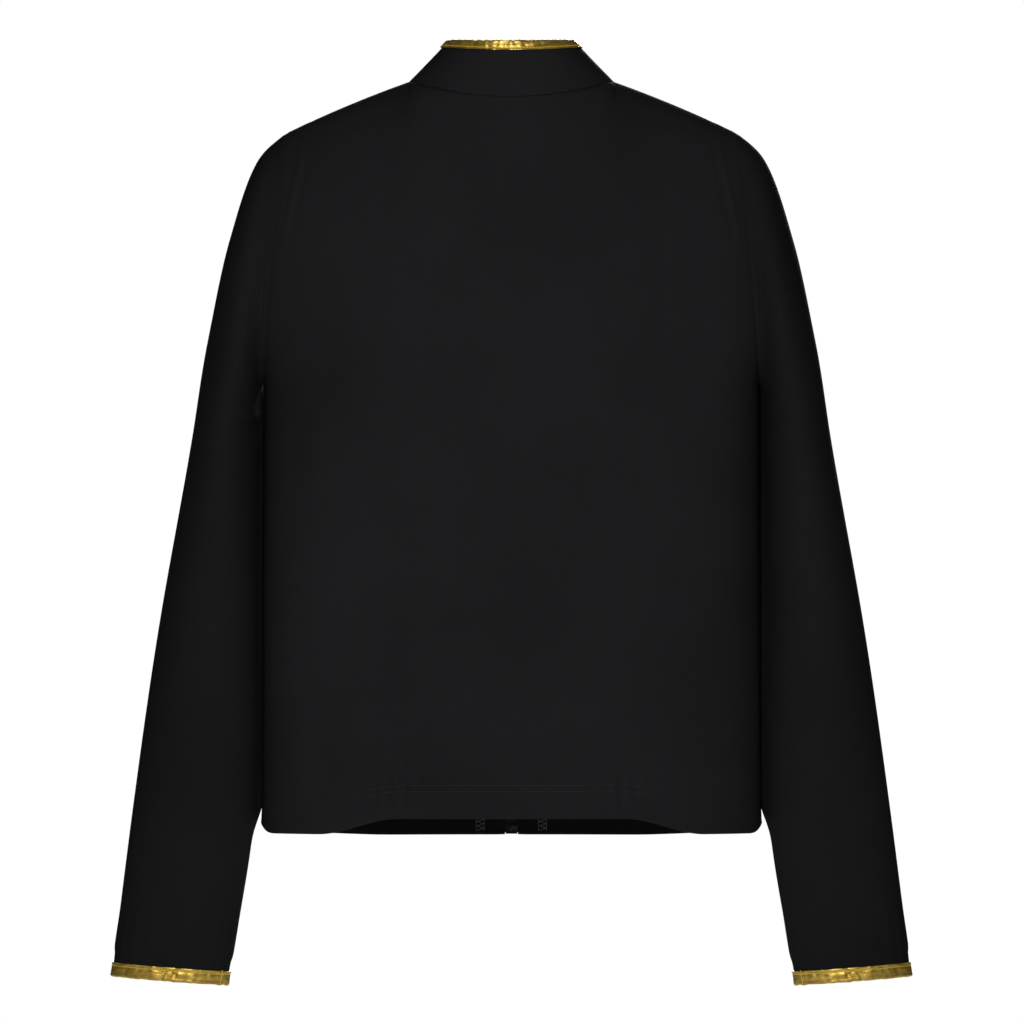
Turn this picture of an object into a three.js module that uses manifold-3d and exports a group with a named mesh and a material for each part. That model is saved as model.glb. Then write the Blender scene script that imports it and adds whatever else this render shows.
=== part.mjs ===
// A long-sleeved stretch jacket with a stand collar and a centre-front zip, empty but holding
// its shape. Millimetres, +Z up. The wearer faces +Y, so the back of the jacket faces -Y, and the
// wearer's left is at -X. The origin is the middle of the neck opening, level with the points
// where the shoulder seams meet the collar.
import * as THREE from "three";
import { mergeVertices } from "three/addons/utils/BufferGeometryUtils.js";
import Module from "manifold-3d";

const wasm = await Module();
wasm.setup();

// ---- Driving dimensions ------------------------------------------------------------------
const chestWidth = 374; // flat width at the armpits
const hemWidth = 377; // flat width at the hem
const backDepth = 82; // from the side seam back to the centre back at the chest
const hemBackDepth = 75;
const frontDepth = 72; // from the side seam forward to the zip at the hem
const sideDrop = 565; // origin down to the hem at the side seams
const hemArch = 12; // how far the back hem rises in the middle
const frontHemDip = 5; // how far the front hem falls at the zip
const shoulderHalf = 170; // middle to the shoulder tip
const shoulderDrop = 39; // origin down to the shoulder tip
const shoulderCrown = 1.5; // bulge of the shoulder line over a straight one
const armpitDrop = 228; // origin down to the armpit
const armholeHalfDepth = 44; // half of the armhole, front to back
const bodySquareness = 2.2; // superellipse exponent of the body's sections

const neckHalfWidth = 77;
const neckBackDepth = 50;
const neckFrontDepth = 60;
const neckBackDrop = 13; // collar seam below the origin at the centre back
const neckFrontDrop = 62; // and at the centre front
const collarTopHalfWidth = 48;
const collarTopBackDepth = 44;
const collarTopHeight = 28; // top edge above the origin at the sides
const collarTopBackRise = 2;
const collarTopFrontDrop = 48; // from the sides down to the zip

const sleeveLength = 633; // shoulder tip down to the sleeve's outer end
const cuffWidth = 89;
const cuffDepth = 50;
const cuffTilt = 7; // the outer end of the cuff is this much higher than the inner end
const sleeveFlare = 0.141; // sideways over downwards, for the forearm
const upperArmDepth = 108;
const sleeveBodyGap = 3.5; // air between the sleeve and the body's side

const panelThick = 1.4;
const collarThick = 1.2;
const interliningThick = 0.8;
const bindingThick = 0.9;
const bindingDepth = 10; // on the cuffs
const collarBindingDepth = 8;
const tapeThick = 0.8;
const facingThick = 1;
const facingWidth = 22;

const coilWidth = 2.6; // one row
const coilThick = 1.6;
const chainGap = 2; // between the two rows, for the slider's divider
const zipTapeWidth = 14.5; // one side
const frontEdge = 5.2; // middle to the edge of each front
const sliderLength = 11;
const sliderHalfWidth = 4.6;
const pullLength = 27;
const pullWidth = 4.4;
const pinLength = 16;
const boxHeight = 7.5;

const seamGap = 0.3; // air between pieces that touch
const neckSeamGap = 0.9; // between the collar and the panels, whose facets differ
const collarBindingGap = 0.45;
const runGap = 0.35; // air around the slider's moving faces

// ---- Colours -----------------------------------------------------------------------------
const finishes = {
  knit: { color: "#1b1b1d", roughness: 0.9, metalness: 0 },
  gold: { color: "#c9a63c", roughness: 0.35, metalness: 0.8 },
  tape: { color: "#121213", roughness: 0.85, metalness: 0 },
  coil: { color: "#161617", roughness: 0.45, metalness: 0 },
  metal: { color: "#232325", roughness: 0.4, metalness: 0.7 },
  lining: { color: "#2a2a2c", roughness: 0.95, metalness: 0 },
  label: { color: "#d9d9d6", roughness: 0.8, metalness: 0 },
};

const jacket = new THREE.Group();

function addMesh(name, geometry, finish, parent = jacket) {
  const mesh = new THREE.Mesh(geometry, new THREE.MeshStandardMaterial(finishes[finish]));
  mesh.name = name;
  parent.add(mesh);
  return mesh;
}

// ---- Small maths -------------------------------------------------------------------------
const vec = (x, y, z) => new THREE.Vector3(x, y, z);
const mix = THREE.MathUtils.lerp;
const xHat = vec(1, 0, 0);
const yHat = vec(0, 1, 0);
const zHat = vec(0, 0, 1);

function smooth(from, to, value) {
  return THREE.MathUtils.smoothstep(value, from, to);
}

// The part of a direction that lies in the plane square to `across`.
function flattened(direction, across, amount = 1) {
  return direction.clone().addScaledVector(across, -amount * direction.dot(across)).normalize();
}

// ---- Closed meshes from grids of points --------------------------------------------------
function geometryFrom(points, triangles) {
  const geometry = new THREE.BufferGeometry();
  const flat = points.flatMap((p) => [p.x, p.y, p.z]);
  geometry.setAttribute("position", new THREE.Float32BufferAttribute(flat, 3));
  geometry.setIndex(triangles);
  geometry.computeVertexNormals();
  return geometry;
}

// Turns every face over if the mesh encloses a negative volume.
function facingOut(points, triangles) {
  let volume = 0;
  for (let i = 0; i < triangles.length; i += 3) {
    const [a, b, c] = [0, 1, 2].map((k) => points[triangles[i + k]]);
    volume += a.dot(b.clone().cross(c));
  }
  if (volume > 0) return geometryFrom(points, triangles);
  const turned = [];
  for (let i = 0; i < triangles.length; i += 3) {
    turned.push(triangles[i], triangles[i + 2], triangles[i + 1]);
  }
  return geometryFrom(points, turned);
}

// A slab between two grids of the same size: outer[row][column] and inner[row][column].
function slab(outer, inner) {
  const rows = outer.length;
  const columns = outer[0].length;
  const points = [...outer.flat(), ...inner.flat()];
  const at = (side, row, column) => side * rows * columns + row * columns + column;
  const triangles = [];
  const quad = (a, b, c, d) => triangles.push(a, b, c, a, c, d);
  for (let r = 0; r + 1 < rows; r += 1) {
    for (let c = 0; c + 1 < columns; c += 1) {
      quad(at(0, r, c), at(0, r, c + 1), at(0, r + 1, c + 1), at(0, r + 1, c));
      quad(at(1, r, c), at(1, r + 1, c), at(1, r + 1, c + 1), at(1, r, c + 1));
    }
    const last = columns - 1;
    quad(at(0, r, 0), at(0, r + 1, 0), at(1, r + 1, 0), at(1, r, 0));
    quad(at(0, r, last), at(1, r, last), at(1, r + 1, last), at(0, r + 1, last));
  }
  for (let c = 0; c + 1 < columns; c += 1) {
    const last = rows - 1;
    quad(at(0, 0, c), at(1, 0, c), at(1, 0, c + 1), at(0, 0, c + 1));
    quad(at(0, last, c), at(0, last, c + 1), at(1, last, c + 1), at(1, last, c));
  }
  return facingOut(points, triangles);
}

// A closed skin through rings of equally many points. Open rings get end caps; with
// `joined`, the last ring runs on into the first.
function ringSkin(rings, joined) {
  const size = rings[0].length;
  const points = rings.flat();
  const triangles = [];
  const spans = joined ? rings.length : rings.length - 1;
  for (let r = 0; r < spans; r += 1) {
    const next = (r + 1) % rings.length;
    for (let k = 0; k < size; k += 1) {
      const [a, b] = [r * size + k, r * size + ((k + 1) % size)];
      const [c, d] = [next * size + ((k + 1) % size), next * size + k];
      triangles.push(a, b, c, a, c, d);
    }
  }
  return { points, triangles, size };
}

// Sweeps a flat outline along frames {at, out, along}: outline points are (out, along) pairs.
function sweepOutline(outline, frames, joined) {
  const place = (frame, [out, along]) =>
    frame.at.clone().addScaledVector(frame.out, out).addScaledVector(frame.along, along);
  const rings = frames.map((frame) => outline.map((corner) => place(frame, corner)));
  const { points, triangles, size } = ringSkin(rings, joined);
  if (!joined) {
    const flat = outline.map(([out, along]) => new THREE.Vector2(out, along));
    const shift = (frames.length - 1) * size;
    for (const [a, b, c] of THREE.ShapeUtils.triangulateShape(flat, [])) {
      const forward = THREE.ShapeUtils.area(flat) > 0;
      triangles.push(...(forward ? [c, b, a] : [a, b, c]));
      triangles.push(...(forward ? [a, b, c] : [c, b, a]).map((k) => k + shift));
    }
  }
  return facingOut(points, triangles);
}

// ---- Joining and cutting -----------------------------------------------------------------
function solidOf(geometry, matrix = new THREE.Matrix4()) {
  const bare = geometry.clone().applyMatrix4(matrix);
  bare.deleteAttribute("normal");
  bare.deleteAttribute("uv");
  const merged = mergeVertices(bare, 1e-4);
  return new wasm.Manifold(
    new wasm.Mesh({
      numProp: 3,
      vertProperties: new Float32Array(merged.attributes.position.array),
      triVerts: new Uint32Array(merged.index.array),
    }),
  );
}

function geometryOf(solid) {
  const mesh = solid.getMesh();
  const geometry = new THREE.BufferGeometry();
  geometry.setAttribute("position", new THREE.BufferAttribute(mesh.vertProperties, 3));
  geometry.setIndex(new THREE.BufferAttribute(mesh.triVerts, 1));
  geometry.computeVertexNormals();
  return geometry;
}

// A box solid from its low and high corners.
function boxSolid([x0, y0, z0], [x1, y1, z1]) {
  const box = new THREE.BoxGeometry(x1 - x0, y1 - y0, z1 - z0);
  return solidOf(box.translate((x0 + x1) / 2, (y0 + y1) / 2, (z0 + z1) / 2));
}

// A round bar along X.
function barSolid(radius, length, y, z, sides = 16) {
  const bar = new THREE.CylinderGeometry(radius, radius, length, sides);
  return solidOf(bar.rotateZ(Math.PI / 2).translate(0, y, z));
}

// ---- The body's surface ------------------------------------------------------------------
const BACK = -1;
const FRONT = 1;
const armpitHalf = chestWidth / 2;
const hemHalf = hemWidth / 2;
const zipBottomDrop = sideDrop + frontHemDip;
const collarFrontTop = collarTopHeight - collarTopFrontDrop;
const zipSlope = (frontDepth - neckFrontDepth) / (zipBottomDrop - neckFrontDrop);
const zipDepthAt = (z) => frontDepth - zipSlope * (z + zipBottomDrop);
// Angle round the neck of an edge this far from the zip, on a level of this half width.
const openingAngle = (half, edge) => Math.PI - Math.asin(edge / half);
const topOpening = Math.abs(Math.cos(openingAngle(collarTopHalfWidth, frontEdge)));
const collarTopFrontDepth = zipDepthAt(collarFrontTop) / topOpening;

function shoulderLine(x) {
  const share = (Math.abs(x) - neckHalfWidth) / (shoulderHalf - neckHalfWidth);
  return -shoulderDrop * share + 4 * shoulderCrown * share * (1 - share);
}

// Collar seam at an angle from the centre back (0) round to the centre front (180 degrees).
function neckPoint(angle) {
  const c = Math.cos(angle);
  const back = c > 0;
  const drop = (back ? neckBackDrop : neckFrontDrop) * c * c;
  const depth = (back ? neckBackDepth : neckFrontDepth) * c;
  return vec(neckHalfWidth * Math.sin(angle), -depth, -drop);
}

function collarTopPoint(angle) {
  const c = Math.cos(angle);
  const back = c > 0;
  const rise = (back ? collarTopBackRise : -collarTopFrontDrop) * c * c;
  const depth = (back ? collarTopBackDepth : collarTopFrontDepth) * c;
  return vec(collarTopHalfWidth * Math.sin(angle), -depth, collarTopHeight + rise);
}

function superDepth(x, halfWidth, depth) {
  const share = Math.min(Math.abs(x / halfWidth), 1);
  return depth * (1 - share ** bodySquareness) ** (1 / bodySquareness);
}

// Below the armpits. `rise` is 0 at the hem and 1 at the armpit; `share` is 0 at the middle and
// 1 at the side seam, by angle round the section.
function lowerPoint(side, share, rise) {
  const halfWidth = mix(hemHalf, armpitHalf, rise);
  const x = halfWidth * Math.sin((share * Math.PI) / 2);
  const middleRise = side === BACK ? hemArch * (1 - smooth(85, 145, Math.abs(x))) : 0;
  const middleDip = side === FRONT ? frontHemDip * (1 - smooth(0, 150, Math.abs(x))) : 0;
  const hemZ = -sideDrop + middleRise - middleDip;
  const z = mix(hemZ, -armpitDrop, rise);
  const depth = side === BACK ? mix(hemBackDepth, backDepth, smooth(0, 1, rise)) : zipDepthAt(z);
  return vec(x, side * superDepth(x, halfWidth, depth), z);
}

// Above the armpits. `rise` is 0 at the armpit level and 1 at the shoulder seam and collar seam.
// The corner where the two seams meet fades out quickly below them.
const neckShare = neckHalfWidth / shoulderHalf;
const softTop = (x) => -0.1 * shoulderDrop - 0.9 * shoulderDrop * (x / shoulderHalf) ** 2.6;
const softNeck = (x) => (1 + Math.cos(Math.PI * Math.min(x / (1.45 * neckHalfWidth), 1))) / 2;

function upperPoint(side, across, rise) {
  const edgeX = mix(armpitHalf, shoulderHalf, rise);
  const x = edgeX * across;
  const topX = shoulderHalf * across;
  const inNeck = across < neckShare;
  const angle = Math.asin(Math.min(across / neckShare, 1));
  const seam = neckPoint(side === BACK ? angle : Math.PI - angle);
  const topZ = inNeck ? seam.z : shoulderLine(topX);
  const neckDepth = side === BACK ? neckBackDepth : neckFrontDepth;
  const topDepth = mix(neckDepth * softNeck(topX), inNeck ? Math.abs(seam.y) : 0, rise ** 10);
  const soft = side === BACK ? softTop(topX) : topZ;
  const z = mix(-armpitDrop, soft, rise) + (topZ - soft) * rise ** 7;
  const swell = 1 - rise ** 2.5;
  const flatness = mix(1, 0.5, smooth(0, neckShare, across));
  const rollOff = swell ** flatness;
  const edgeRoll = Math.max(Math.sqrt(swell), 1e-4);
  const edgeDepth = (armholeHalfDepth * 2 * Math.sqrt(Math.max(rise * (1 - rise), 0))) / edgeRoll;
  let depth = backDepth;
  if (side === FRONT) {
    const straight = zipDepthAt(-armpitDrop) - neckFrontDepth;
    depth = neckFrontDepth + (swell > 1e-6 ? (straight * (1 - rise)) / swell : 0);
  }
  const ratio = Math.min(edgeDepth / depth, 0.98);
  const virtualHalf = edgeX / (1 - ratio ** bodySquareness) ** (1 / bodySquareness);
  const y = superDepth(x, virtualHalf, depth) * rollOff + topDepth * (1 - rollOff);
  return vec(x, side * y, z);
}

// Columns are listed as shares of the shoulder width. Below the armpits the same column keeps
// its sideways share, so that the two halves of a panel meet without a step.
function bodyPoint(side, across, level) {
  if (level >= 1) return upperPoint(side, across, level - 1);
  return lowerPoint(side, (2 / Math.PI) * Math.asin(Math.min(across, 1)), level);
}

// ---- Grids over the body -----------------------------------------------------------------
const edgeShare = (x, level) => {
  const half = level >= 1 ? mix(armpitHalf, shoulderHalf, level - 1) : mix(hemHalf, armpitHalf, level);
  return x / half;
};

const lowerRows = [0, 0.06, 0.2, 0.36, 0.52, 0.68, 0.84];
const upperSteps = 9;
const rowLevels = [...lowerRows];
for (let k = 0; k <= upperSteps; k += 1) {
  rowLevels.push(1 + (1 - Math.cos((Math.PI * k) / upperSteps)) / 2);
}

const neckSteps = 5;
const shoulderSteps = 5;
const halfColumns = [];
for (let k = 0; k <= neckSteps; k += 1) {
  halfColumns.push(neckShare * Math.sin((Math.PI / 2) * (k / neckSteps)));
}
for (let k = 1; k <= shoulderSteps; k += 1) {
  const share = Math.sin((Math.PI / 2) * (k / shoulderSteps));
  halfColumns.push(mix(neckShare, 1, share * 0.6 + (k / shoulderSteps) * 0.4));
}

const sideClearance = seamGap / 2;

// One grid of the body's surface, sunk `depth` below it. `columns` holds signed values from
// the wearer's left (-1) to right (+1), or distances in millimetres for values over 1.
function bodyGrid(side, columns, levels) {
  return levels.map((level) =>
    columns.map((column) => {
      const share = Math.abs(column) > 1 ? edgeShare(Math.abs(column), level) : Math.abs(column);
      const point = bodyPoint(side, share, level);
      point.x *= Math.sign(column) || 1;
      point.y += side * sideClearance;
      return point;
    }),
  );
}

// Outward normals of a grid, with the end faces kept in their seams: across the side and
// shoulder seams along Y, across the armholes along the armhole's plane, and level at the neck.
const armholeAcross = vec(armpitDrop - shoulderDrop, 0, armpitHalf - shoulderHalf).normalize();

function gridNormals(grid, away) {
  const rows = grid.length;
  const columns = grid[0].length;
  return grid.map((row, r) =>
    row.map((point, c) => {
      const right = row[Math.min(c + 1, columns - 1)].clone().sub(row[Math.max(c - 1, 0)]);
      const up = grid[Math.min(r + 1, rows - 1)][c].clone().sub(grid[Math.max(r - 1, 0)][c]);
      const normal = right.cross(up).normalize();
      return normal.dot(away(point)) < 0 ? normal.negate() : normal;
    }),
  );
}

// The direction that the edge along the shoulder and collar seams is thickened in.
function topEdgeNormal(point, normal, share, sign) {
  if (share > 1 - 1e-6) return vec(-armholeAcross.z * sign, 0, armholeAcross.x);
  if (share > neckShare + 1e-6) return flattened(normal.z > 0 ? normal : zHat, yHat);
  if (share > neckShare - 1e-6) return vec(sign, 0, 0);
  return vec(point.x / neckHalfWidth ** 2, point.y / neckFrontDepth ** 2, 0).normalize();
}

function bodyNormals(grid, columns, levels) {
  const normals = gridNormals(grid, (p) => vec(p.x * 0.3, p.y, 20));
  const normalAt = (normal, r, c) => {
    const level = levels[r];
    const column = Math.abs(columns[c]);
    const sign = Math.sign(columns[c]) || 1;
    const across = vec(armholeAcross.x * sign, 0, armholeAcross.z);
    if (column === 1 && level <= 1) return vec(sign, 0, 0);
    if (level === 0) return flattened(normal, zHat);
    const share = column > 1 ? edgeShare(column, level) : column;
    if (level === 2) return topEdgeNormal(grid[r][c], normal, share, sign);
    if (column === 1) return flattened(normal, across, smooth(1, 1.35, level));
    return column > 1 && column < 1.5 * frontEdge ? flattened(normal, xHat) : normal;
  };
  return normals.map((row, r) => row.map((normal, c) => normalAt(normal, r, c)));
}

const sunk = (grid, normals, depth) =>
  grid.map((row, r) => row.map((p, c) => p.clone().addScaledVector(normals[r][c], -depth)));

// A layer of the body between two depths below its outer surface.
function bodyLayer(side, columns, levels, from, thick, [firstRow, lastRow] = [0, levels.length]) {
  const grid = bodyGrid(side, columns, levels);
  const normals = bodyNormals(grid, columns, levels);
  const cut = (rows) => rows.slice(firstRow, lastRow);
  return slab(cut(sunk(grid, normals, from)), cut(sunk(grid, normals, from + thick)));
}

// ---- Body panels -------------------------------------------------------------------------
const mirrored = (list) => [...list.slice(1).reverse().map((value) => -value), ...list];
const backColumns = mirrored(halfColumns);
addMesh("back_panel", bodyLayer(BACK, backColumns, rowLevels, 0, panelThick), "knit");

const facingEdge = frontEdge + facingWidth;
const outerColumns = halfColumns.filter((share) => share * shoulderHalf > facingEdge + 4);
const frontColumns = [frontEdge, facingEdge, ...outerColumns];
const tapeSink = panelThick + 1.5 * seamGap;
const facingSink = tapeSink + tapeThick + seamGap;
const sides = { left: -1, right: 1 };

for (const [hand, sign] of Object.entries(sides)) {
  const columns = frontColumns.map((column) => sign * column);
  addMesh(`${hand}_front_panel`, bodyLayer(FRONT, columns, rowLevels, 0, panelThick), "knit");
  const rows = [0, rowLevels.length - 1];
  const facing = bodyLayer(FRONT, columns.slice(0, 2), rowLevels, facingSink, facingThick, rows);
  addMesh(`${hand}_front_facing`, facing, "knit");
}

// ---- Sleeves -----------------------------------------------------------------------------
const armholeRing = {
  outer: vec(shoulderHalf, 0, -shoulderDrop),
  inner: vec(armpitHalf, 0, -armpitDrop),
  depth: armholeHalfDepth,
};
const innerEdge = Math.max(hemHalf, armpitHalf) + sleeveBodyGap;
const cuffOuterZ = -shoulderDrop - sleeveLength;
const cuffInner = vec(innerEdge + 21, 0, cuffOuterZ - cuffTilt);
const cuffOuter = cuffInner.clone().add(vec(Math.sqrt(cuffWidth ** 2 - cuffTilt ** 2), 0, cuffTilt));
const onOuterLine = (z) => cuffOuter.x - sleeveFlare * (z - cuffOuterZ);
const crownOut = (out, down) => vec(shoulderHalf + out, 0, -shoulderDrop - down);
const pitOut = (out, down) => vec(armpitHalf + out, 0, -armpitDrop - down);

// Matching points down the sleeve's outer and inner edges, with its depth there.
const armDepth = upperArmDepth / 2;
const elbowZ = mix(-shoulderDrop, cuffOuterZ, 0.555);
const wristZ = mix(-shoulderDrop, cuffOuterZ, 0.79);
const sleeveStations = [
  armholeRing,
  { outer: crownOut(20, 20), inner: pitOut(1.9, 3), depth: mix(armholeHalfDepth, armDepth, 0.5) },
  { outer: crownOut(42, 81), inner: pitOut(3, 8), depth: mix(armholeHalfDepth, armDepth, 0.9) },
  { outer: crownOut(57.5, 155), inner: pitOut(4.2, 17), depth: armDepth },
  { outer: crownOut(69.5, 223), inner: vec(innerEdge - 0.6, 0, -armpitDrop - 44), depth: armDepth - 1 },
  { outer: vec(onOuterLine(elbowZ), 0, elbowZ), inner: vec(innerEdge, 0, elbowZ - 9), depth: 47 },
  { outer: vec(onOuterLine(wristZ), 0, wristZ), inner: vec(innerEdge + 1, 0, wristZ - 9), depth: 33 },
  { outer: cuffOuter, inner: cuffInner, depth: cuffDepth / 2 },
];
const outerCurve = new THREE.CatmullRomCurve3(sleeveStations.map((s) => s.outer), false, "centripetal");
const innerCurve = new THREE.CatmullRomCurve3(sleeveStations.map((s) => s.inner), false, "centripetal");
const depthCurve = new THREE.CatmullRomCurve3(
  sleeveStations.map((s, k) => vec(k * 40, s.depth, 0)), false, "centripetal",
);

// A point on the sleeve: `along` runs from 0 at the armhole to 1 at the end, and `angle` from
// the outer edge (0) over the back (90 degrees) to the inner edge and round the front.
function sleevePoint(sign, along, angle, inset = 0) {
  const outer = outerCurve.getPoint(along);
  const inner = innerCurve.getPoint(along);
  const middle = outer.clone().add(inner).multiplyScalar(0.5);
  const arm = outer.clone().sub(inner).multiplyScalar(0.5);
  const reach = arm.length();
  const depth = depthCurve.getPoint(along).y;
  arm.multiplyScalar((reach - inset) / reach);
  const point = middle.addScaledVector(arm, Math.cos(angle));
  point.y -= (depth - inset) * Math.sin(angle);
  point.x *= sign;
  return point;
}

const sleeveSides = 20;
const sleeveSteps = [0, 0.035, 0.075, 0.13, 0.2, 0.28, 0.36, 0.44, 0.52, 0.6, 0.68, 0.76, 0.84, 0.92, 1];
const angles = Array.from({ length: sleeveSides }, (_, k) => (2 * Math.PI * k) / sleeveSides);

function sleeveGeometry(sign) {
  const away = armholeAcross.clone();
  away.x *= sign;
  const push = away.multiplyScalar(seamGap);
  const ring = (along, inset) =>
    angles.map((angle) => sleevePoint(sign, along, angle, inset).addScaledVector(push, 1 - along));
  const outside = sleeveSteps.map((along) => ring(along, 0));
  const inside = sleeveSteps.map((along) => ring(along, panelThick));
  const { points, triangles } = ringSkin([...outside, ...inside.reverse()], true);
  return facingOut(points, triangles);
}

// The gold band folds over the sleeve's end: an outer leg, a rounded fold and an inner leg.
function bindingOutline(outerGap, stack, innerGap, outerDepth, innerDepth) {
  const [outer, inner] = [outerGap + bindingThick, stack + innerGap];
  const middle = (outer - inner - bindingThick) / 2;
  const fold = seamGap + bindingThick;
  return [
    [outer, -outerDepth], [outer, 0], [mix(outer, middle, 0.3), fold * 0.75], [middle, fold],
    [mix(-inner - bindingThick, middle, 0.3), fold * 0.75], [-inner - bindingThick, 0],
    [-inner - bindingThick, -innerDepth], [-inner, -innerDepth], [-inner, seamGap],
    [outerGap, seamGap], [outerGap, -outerDepth],
  ];
}

function cuffBindingGeometry(sign) {
  const outline = bindingOutline(seamGap, panelThick, seamGap, bindingDepth, bindingDepth - 2);
  const frames = angles.map((angle) => {
    const at = sleevePoint(sign, 1, angle);
    const along = at.clone().sub(sleevePoint(sign, 0.985, angle)).normalize();
    const round = sleevePoint(sign, 1, angle + 0.02).sub(sleevePoint(sign, 1, angle - 0.02));
    const out = round.cross(along).normalize();
    const centre = sleevePoint(sign, 1, 0).add(sleevePoint(sign, 1, Math.PI)).multiplyScalar(0.5);
    if (out.dot(at.clone().sub(centre)) < 0) out.negate();
    return { at, out, along };
  });
  return sweepOutline(outline, frames, true);
}

for (const [hand, sign] of Object.entries(sides)) {
  addMesh(`${hand}_sleeve`, sleeveGeometry(sign), "knit");
  addMesh(`${hand}_cuff_binding`, cuffBindingGeometry(sign), "gold");
}

// ---- Collar ------------------------------------------------------------------------------
const collarSteps = 26;

// Every level of the collar ends at the same distance from the zip.
function collarPoint(share, rise, edge) {
  const end = mix(openingAngle(neckHalfWidth, edge), openingAngle(collarTopHalfWidth, edge), rise);
  return neckPoint(share * end).lerp(collarTopPoint(share * end), rise);
}

function collarGrid(rises) {
  return rises.map((rise) =>
    Array.from({ length: collarSteps + 1 }, (_, k) =>
      collarPoint((2 * k) / collarSteps - 1, rise, frontEdge),
    ),
  );
}

function collarNormals(grid) {
  const normals = gridNormals(grid, (p) => vec(p.x, p.y, 0));
  return normals.map((row, r) =>
    row.map((normal, c) => {
      const atZip = c === 0 || c === row.length - 1;
      const inPlan = vec(grid[r][c].x / neckHalfWidth ** 2, grid[r][c].y / neckFrontDepth ** 2, 0);
      if (atZip) return vec(0, 1, 0);
      return r === 0 ? inPlan.normalize() : normal;
    }),
  );
}

const collarHeight = neckPoint(0).distanceTo(collarTopPoint(0));
const collarRises = [neckSeamGap / collarHeight, 0.5, 0.95, 1];

// All layers share their rows and columns, so that they stay parallel. The interlining stops
// short of the top edge and of the zip tapes.
function collarLayer(sink, thick, lastRise = collarRises.length, trim = 0) {
  const grid = collarGrid(collarRises);
  const normals = collarNormals(grid);
  const cut = (rows) => rows.slice(0, lastRise).map((row) => row.slice(trim, row.length - trim));
  return slab(cut(sunk(grid, normals, sink)), cut(sunk(grid, normals, sink + thick)));
}

const innerCollarSink = collarThick + interliningThick + 3.5 * seamGap;
addMesh("collar_outer", collarLayer(0, collarThick), "knit");
addMesh("collar_interlining", collarLayer(collarThick + seamGap, interliningThick, 3, 1), "lining");
addMesh("collar_inner", collarLayer(innerCollarSink, collarThick), "knit");

function collarBindingGeometry() {
  const stack = innerCollarSink + collarThick;
  const gap = collarBindingGap;
  const outline = bindingOutline(gap, stack, gap, collarBindingDepth, collarBindingDepth - 1);
  const grid = collarGrid(collarRises);
  const normals = collarNormals(grid);
  const [below, top] = [collarRises.length - 2, collarRises.length - 1];
  const frames = grid[top].map((at, c) => {
    const along = at.clone().sub(grid[below][c]).normalize();
    return { at, out: flattened(normals[top][c], along), along };
  });
  return sweepOutline(outline, frames, false);
}
addMesh("collar_binding", collarBindingGeometry(), "gold");

// ---- Tapes and labels inside -------------------------------------------------------------
const insideSink = panelThick + seamGap;
const lastRow = rowLevels.length;
const neckColumns = backColumns.filter((share) => Math.abs(share) < neckShare - 0.001);
const neckTape = bodyLayer(BACK, neckColumns, rowLevels, insideSink, tapeThick, [lastRow - 2, lastRow]);
addMesh("back_neck_tape", neckTape, "tape");

// The tape is bent like a low roof, because the two panels fall away from the seam.
const tapeHalfWidth = 3.5;
const roofDrop = 1.9;
for (const [hand, sign] of Object.entries(sides)) {
  const outline = [
    [0, 0], [roofDrop, tapeHalfWidth], [roofDrop + tapeThick, tapeHalfWidth], [tapeThick, 0],
    [roofDrop + tapeThick, -tapeHalfWidth], [roofDrop, -tapeHalfWidth],
  ];
  const frames = halfColumns
    .filter((share) => share > neckShare + 0.01 && share < 0.99)
    .map((share) => {
      const x = share * shoulderHalf;
      const slope = (shoulderLine(x + 1) - shoulderLine(x - 1)) / 2;
      const down = vec(slope * sign, 0, -1).normalize();
      const at = vec(sign * x, 0, shoulderLine(x)).addScaledVector(down, insideSink + seamGap);
      return { at, out: down, along: yHat };
    });
  addMesh(`${hand}_shoulder_tape`, sweepOutline(outline, frames, false), "tape");
}

const labelThick = 0.5;
const labelColumns = neckColumns.filter((share) => Math.abs(share) < neckShare * 0.32);
const labelSink = insideSink + tapeThick + seamGap;
const labelRows = [lastRow - 3, lastRow - 1];
const sizeLabel = bodyLayer(BACK, labelColumns, rowLevels, labelSink, labelThick, labelRows);
addMesh("size_label", sizeLabel, "label");
const careColumns = [-halfColumns.at(-2), -halfColumns.at(-3)];
addMesh("care_label", bodyLayer(BACK, careColumns, rowLevels, insideSink, labelThick, [1, 3]), "label");

// ---- Zip ---------------------------------------------------------------------------------
// Its own frame: Z up along the zip from the hem, Y out of the jacket, X sideways.
const zip = new THREE.Group();
zip.position.set(0, frontDepth, -zipBottomDrop);
zip.rotation.x = Math.atan(zipSlope);
jacket.add(zip);
const zipLength = (zipBottomDrop + collarFrontTop) / Math.cos(Math.atan(zipSlope));

const tapeOut = -tapeSink; // the tape's outer face
const tapeIn = tapeOut - tapeThick;
const tapeEdge = chainGap / 2 + 0.2;
const boxBottom = 2;
const boxTop = boxBottom + boxHeight;
const coilFrom = chainGap / 2;
const coilTo = coilFrom + coilWidth;
const coilIn = tapeOut + seamGap;
const coilOut = coilIn + coilThick;
const coilTop = zipLength - 9;
const stopTop = coilTop + seamGap + 3.5;
const pinTop = boxBottom + 1.5 + pinLength;
const notchTop = boxTop + seamGap;
const notchEdge = sliderHalfWidth + 0.2;

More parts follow.
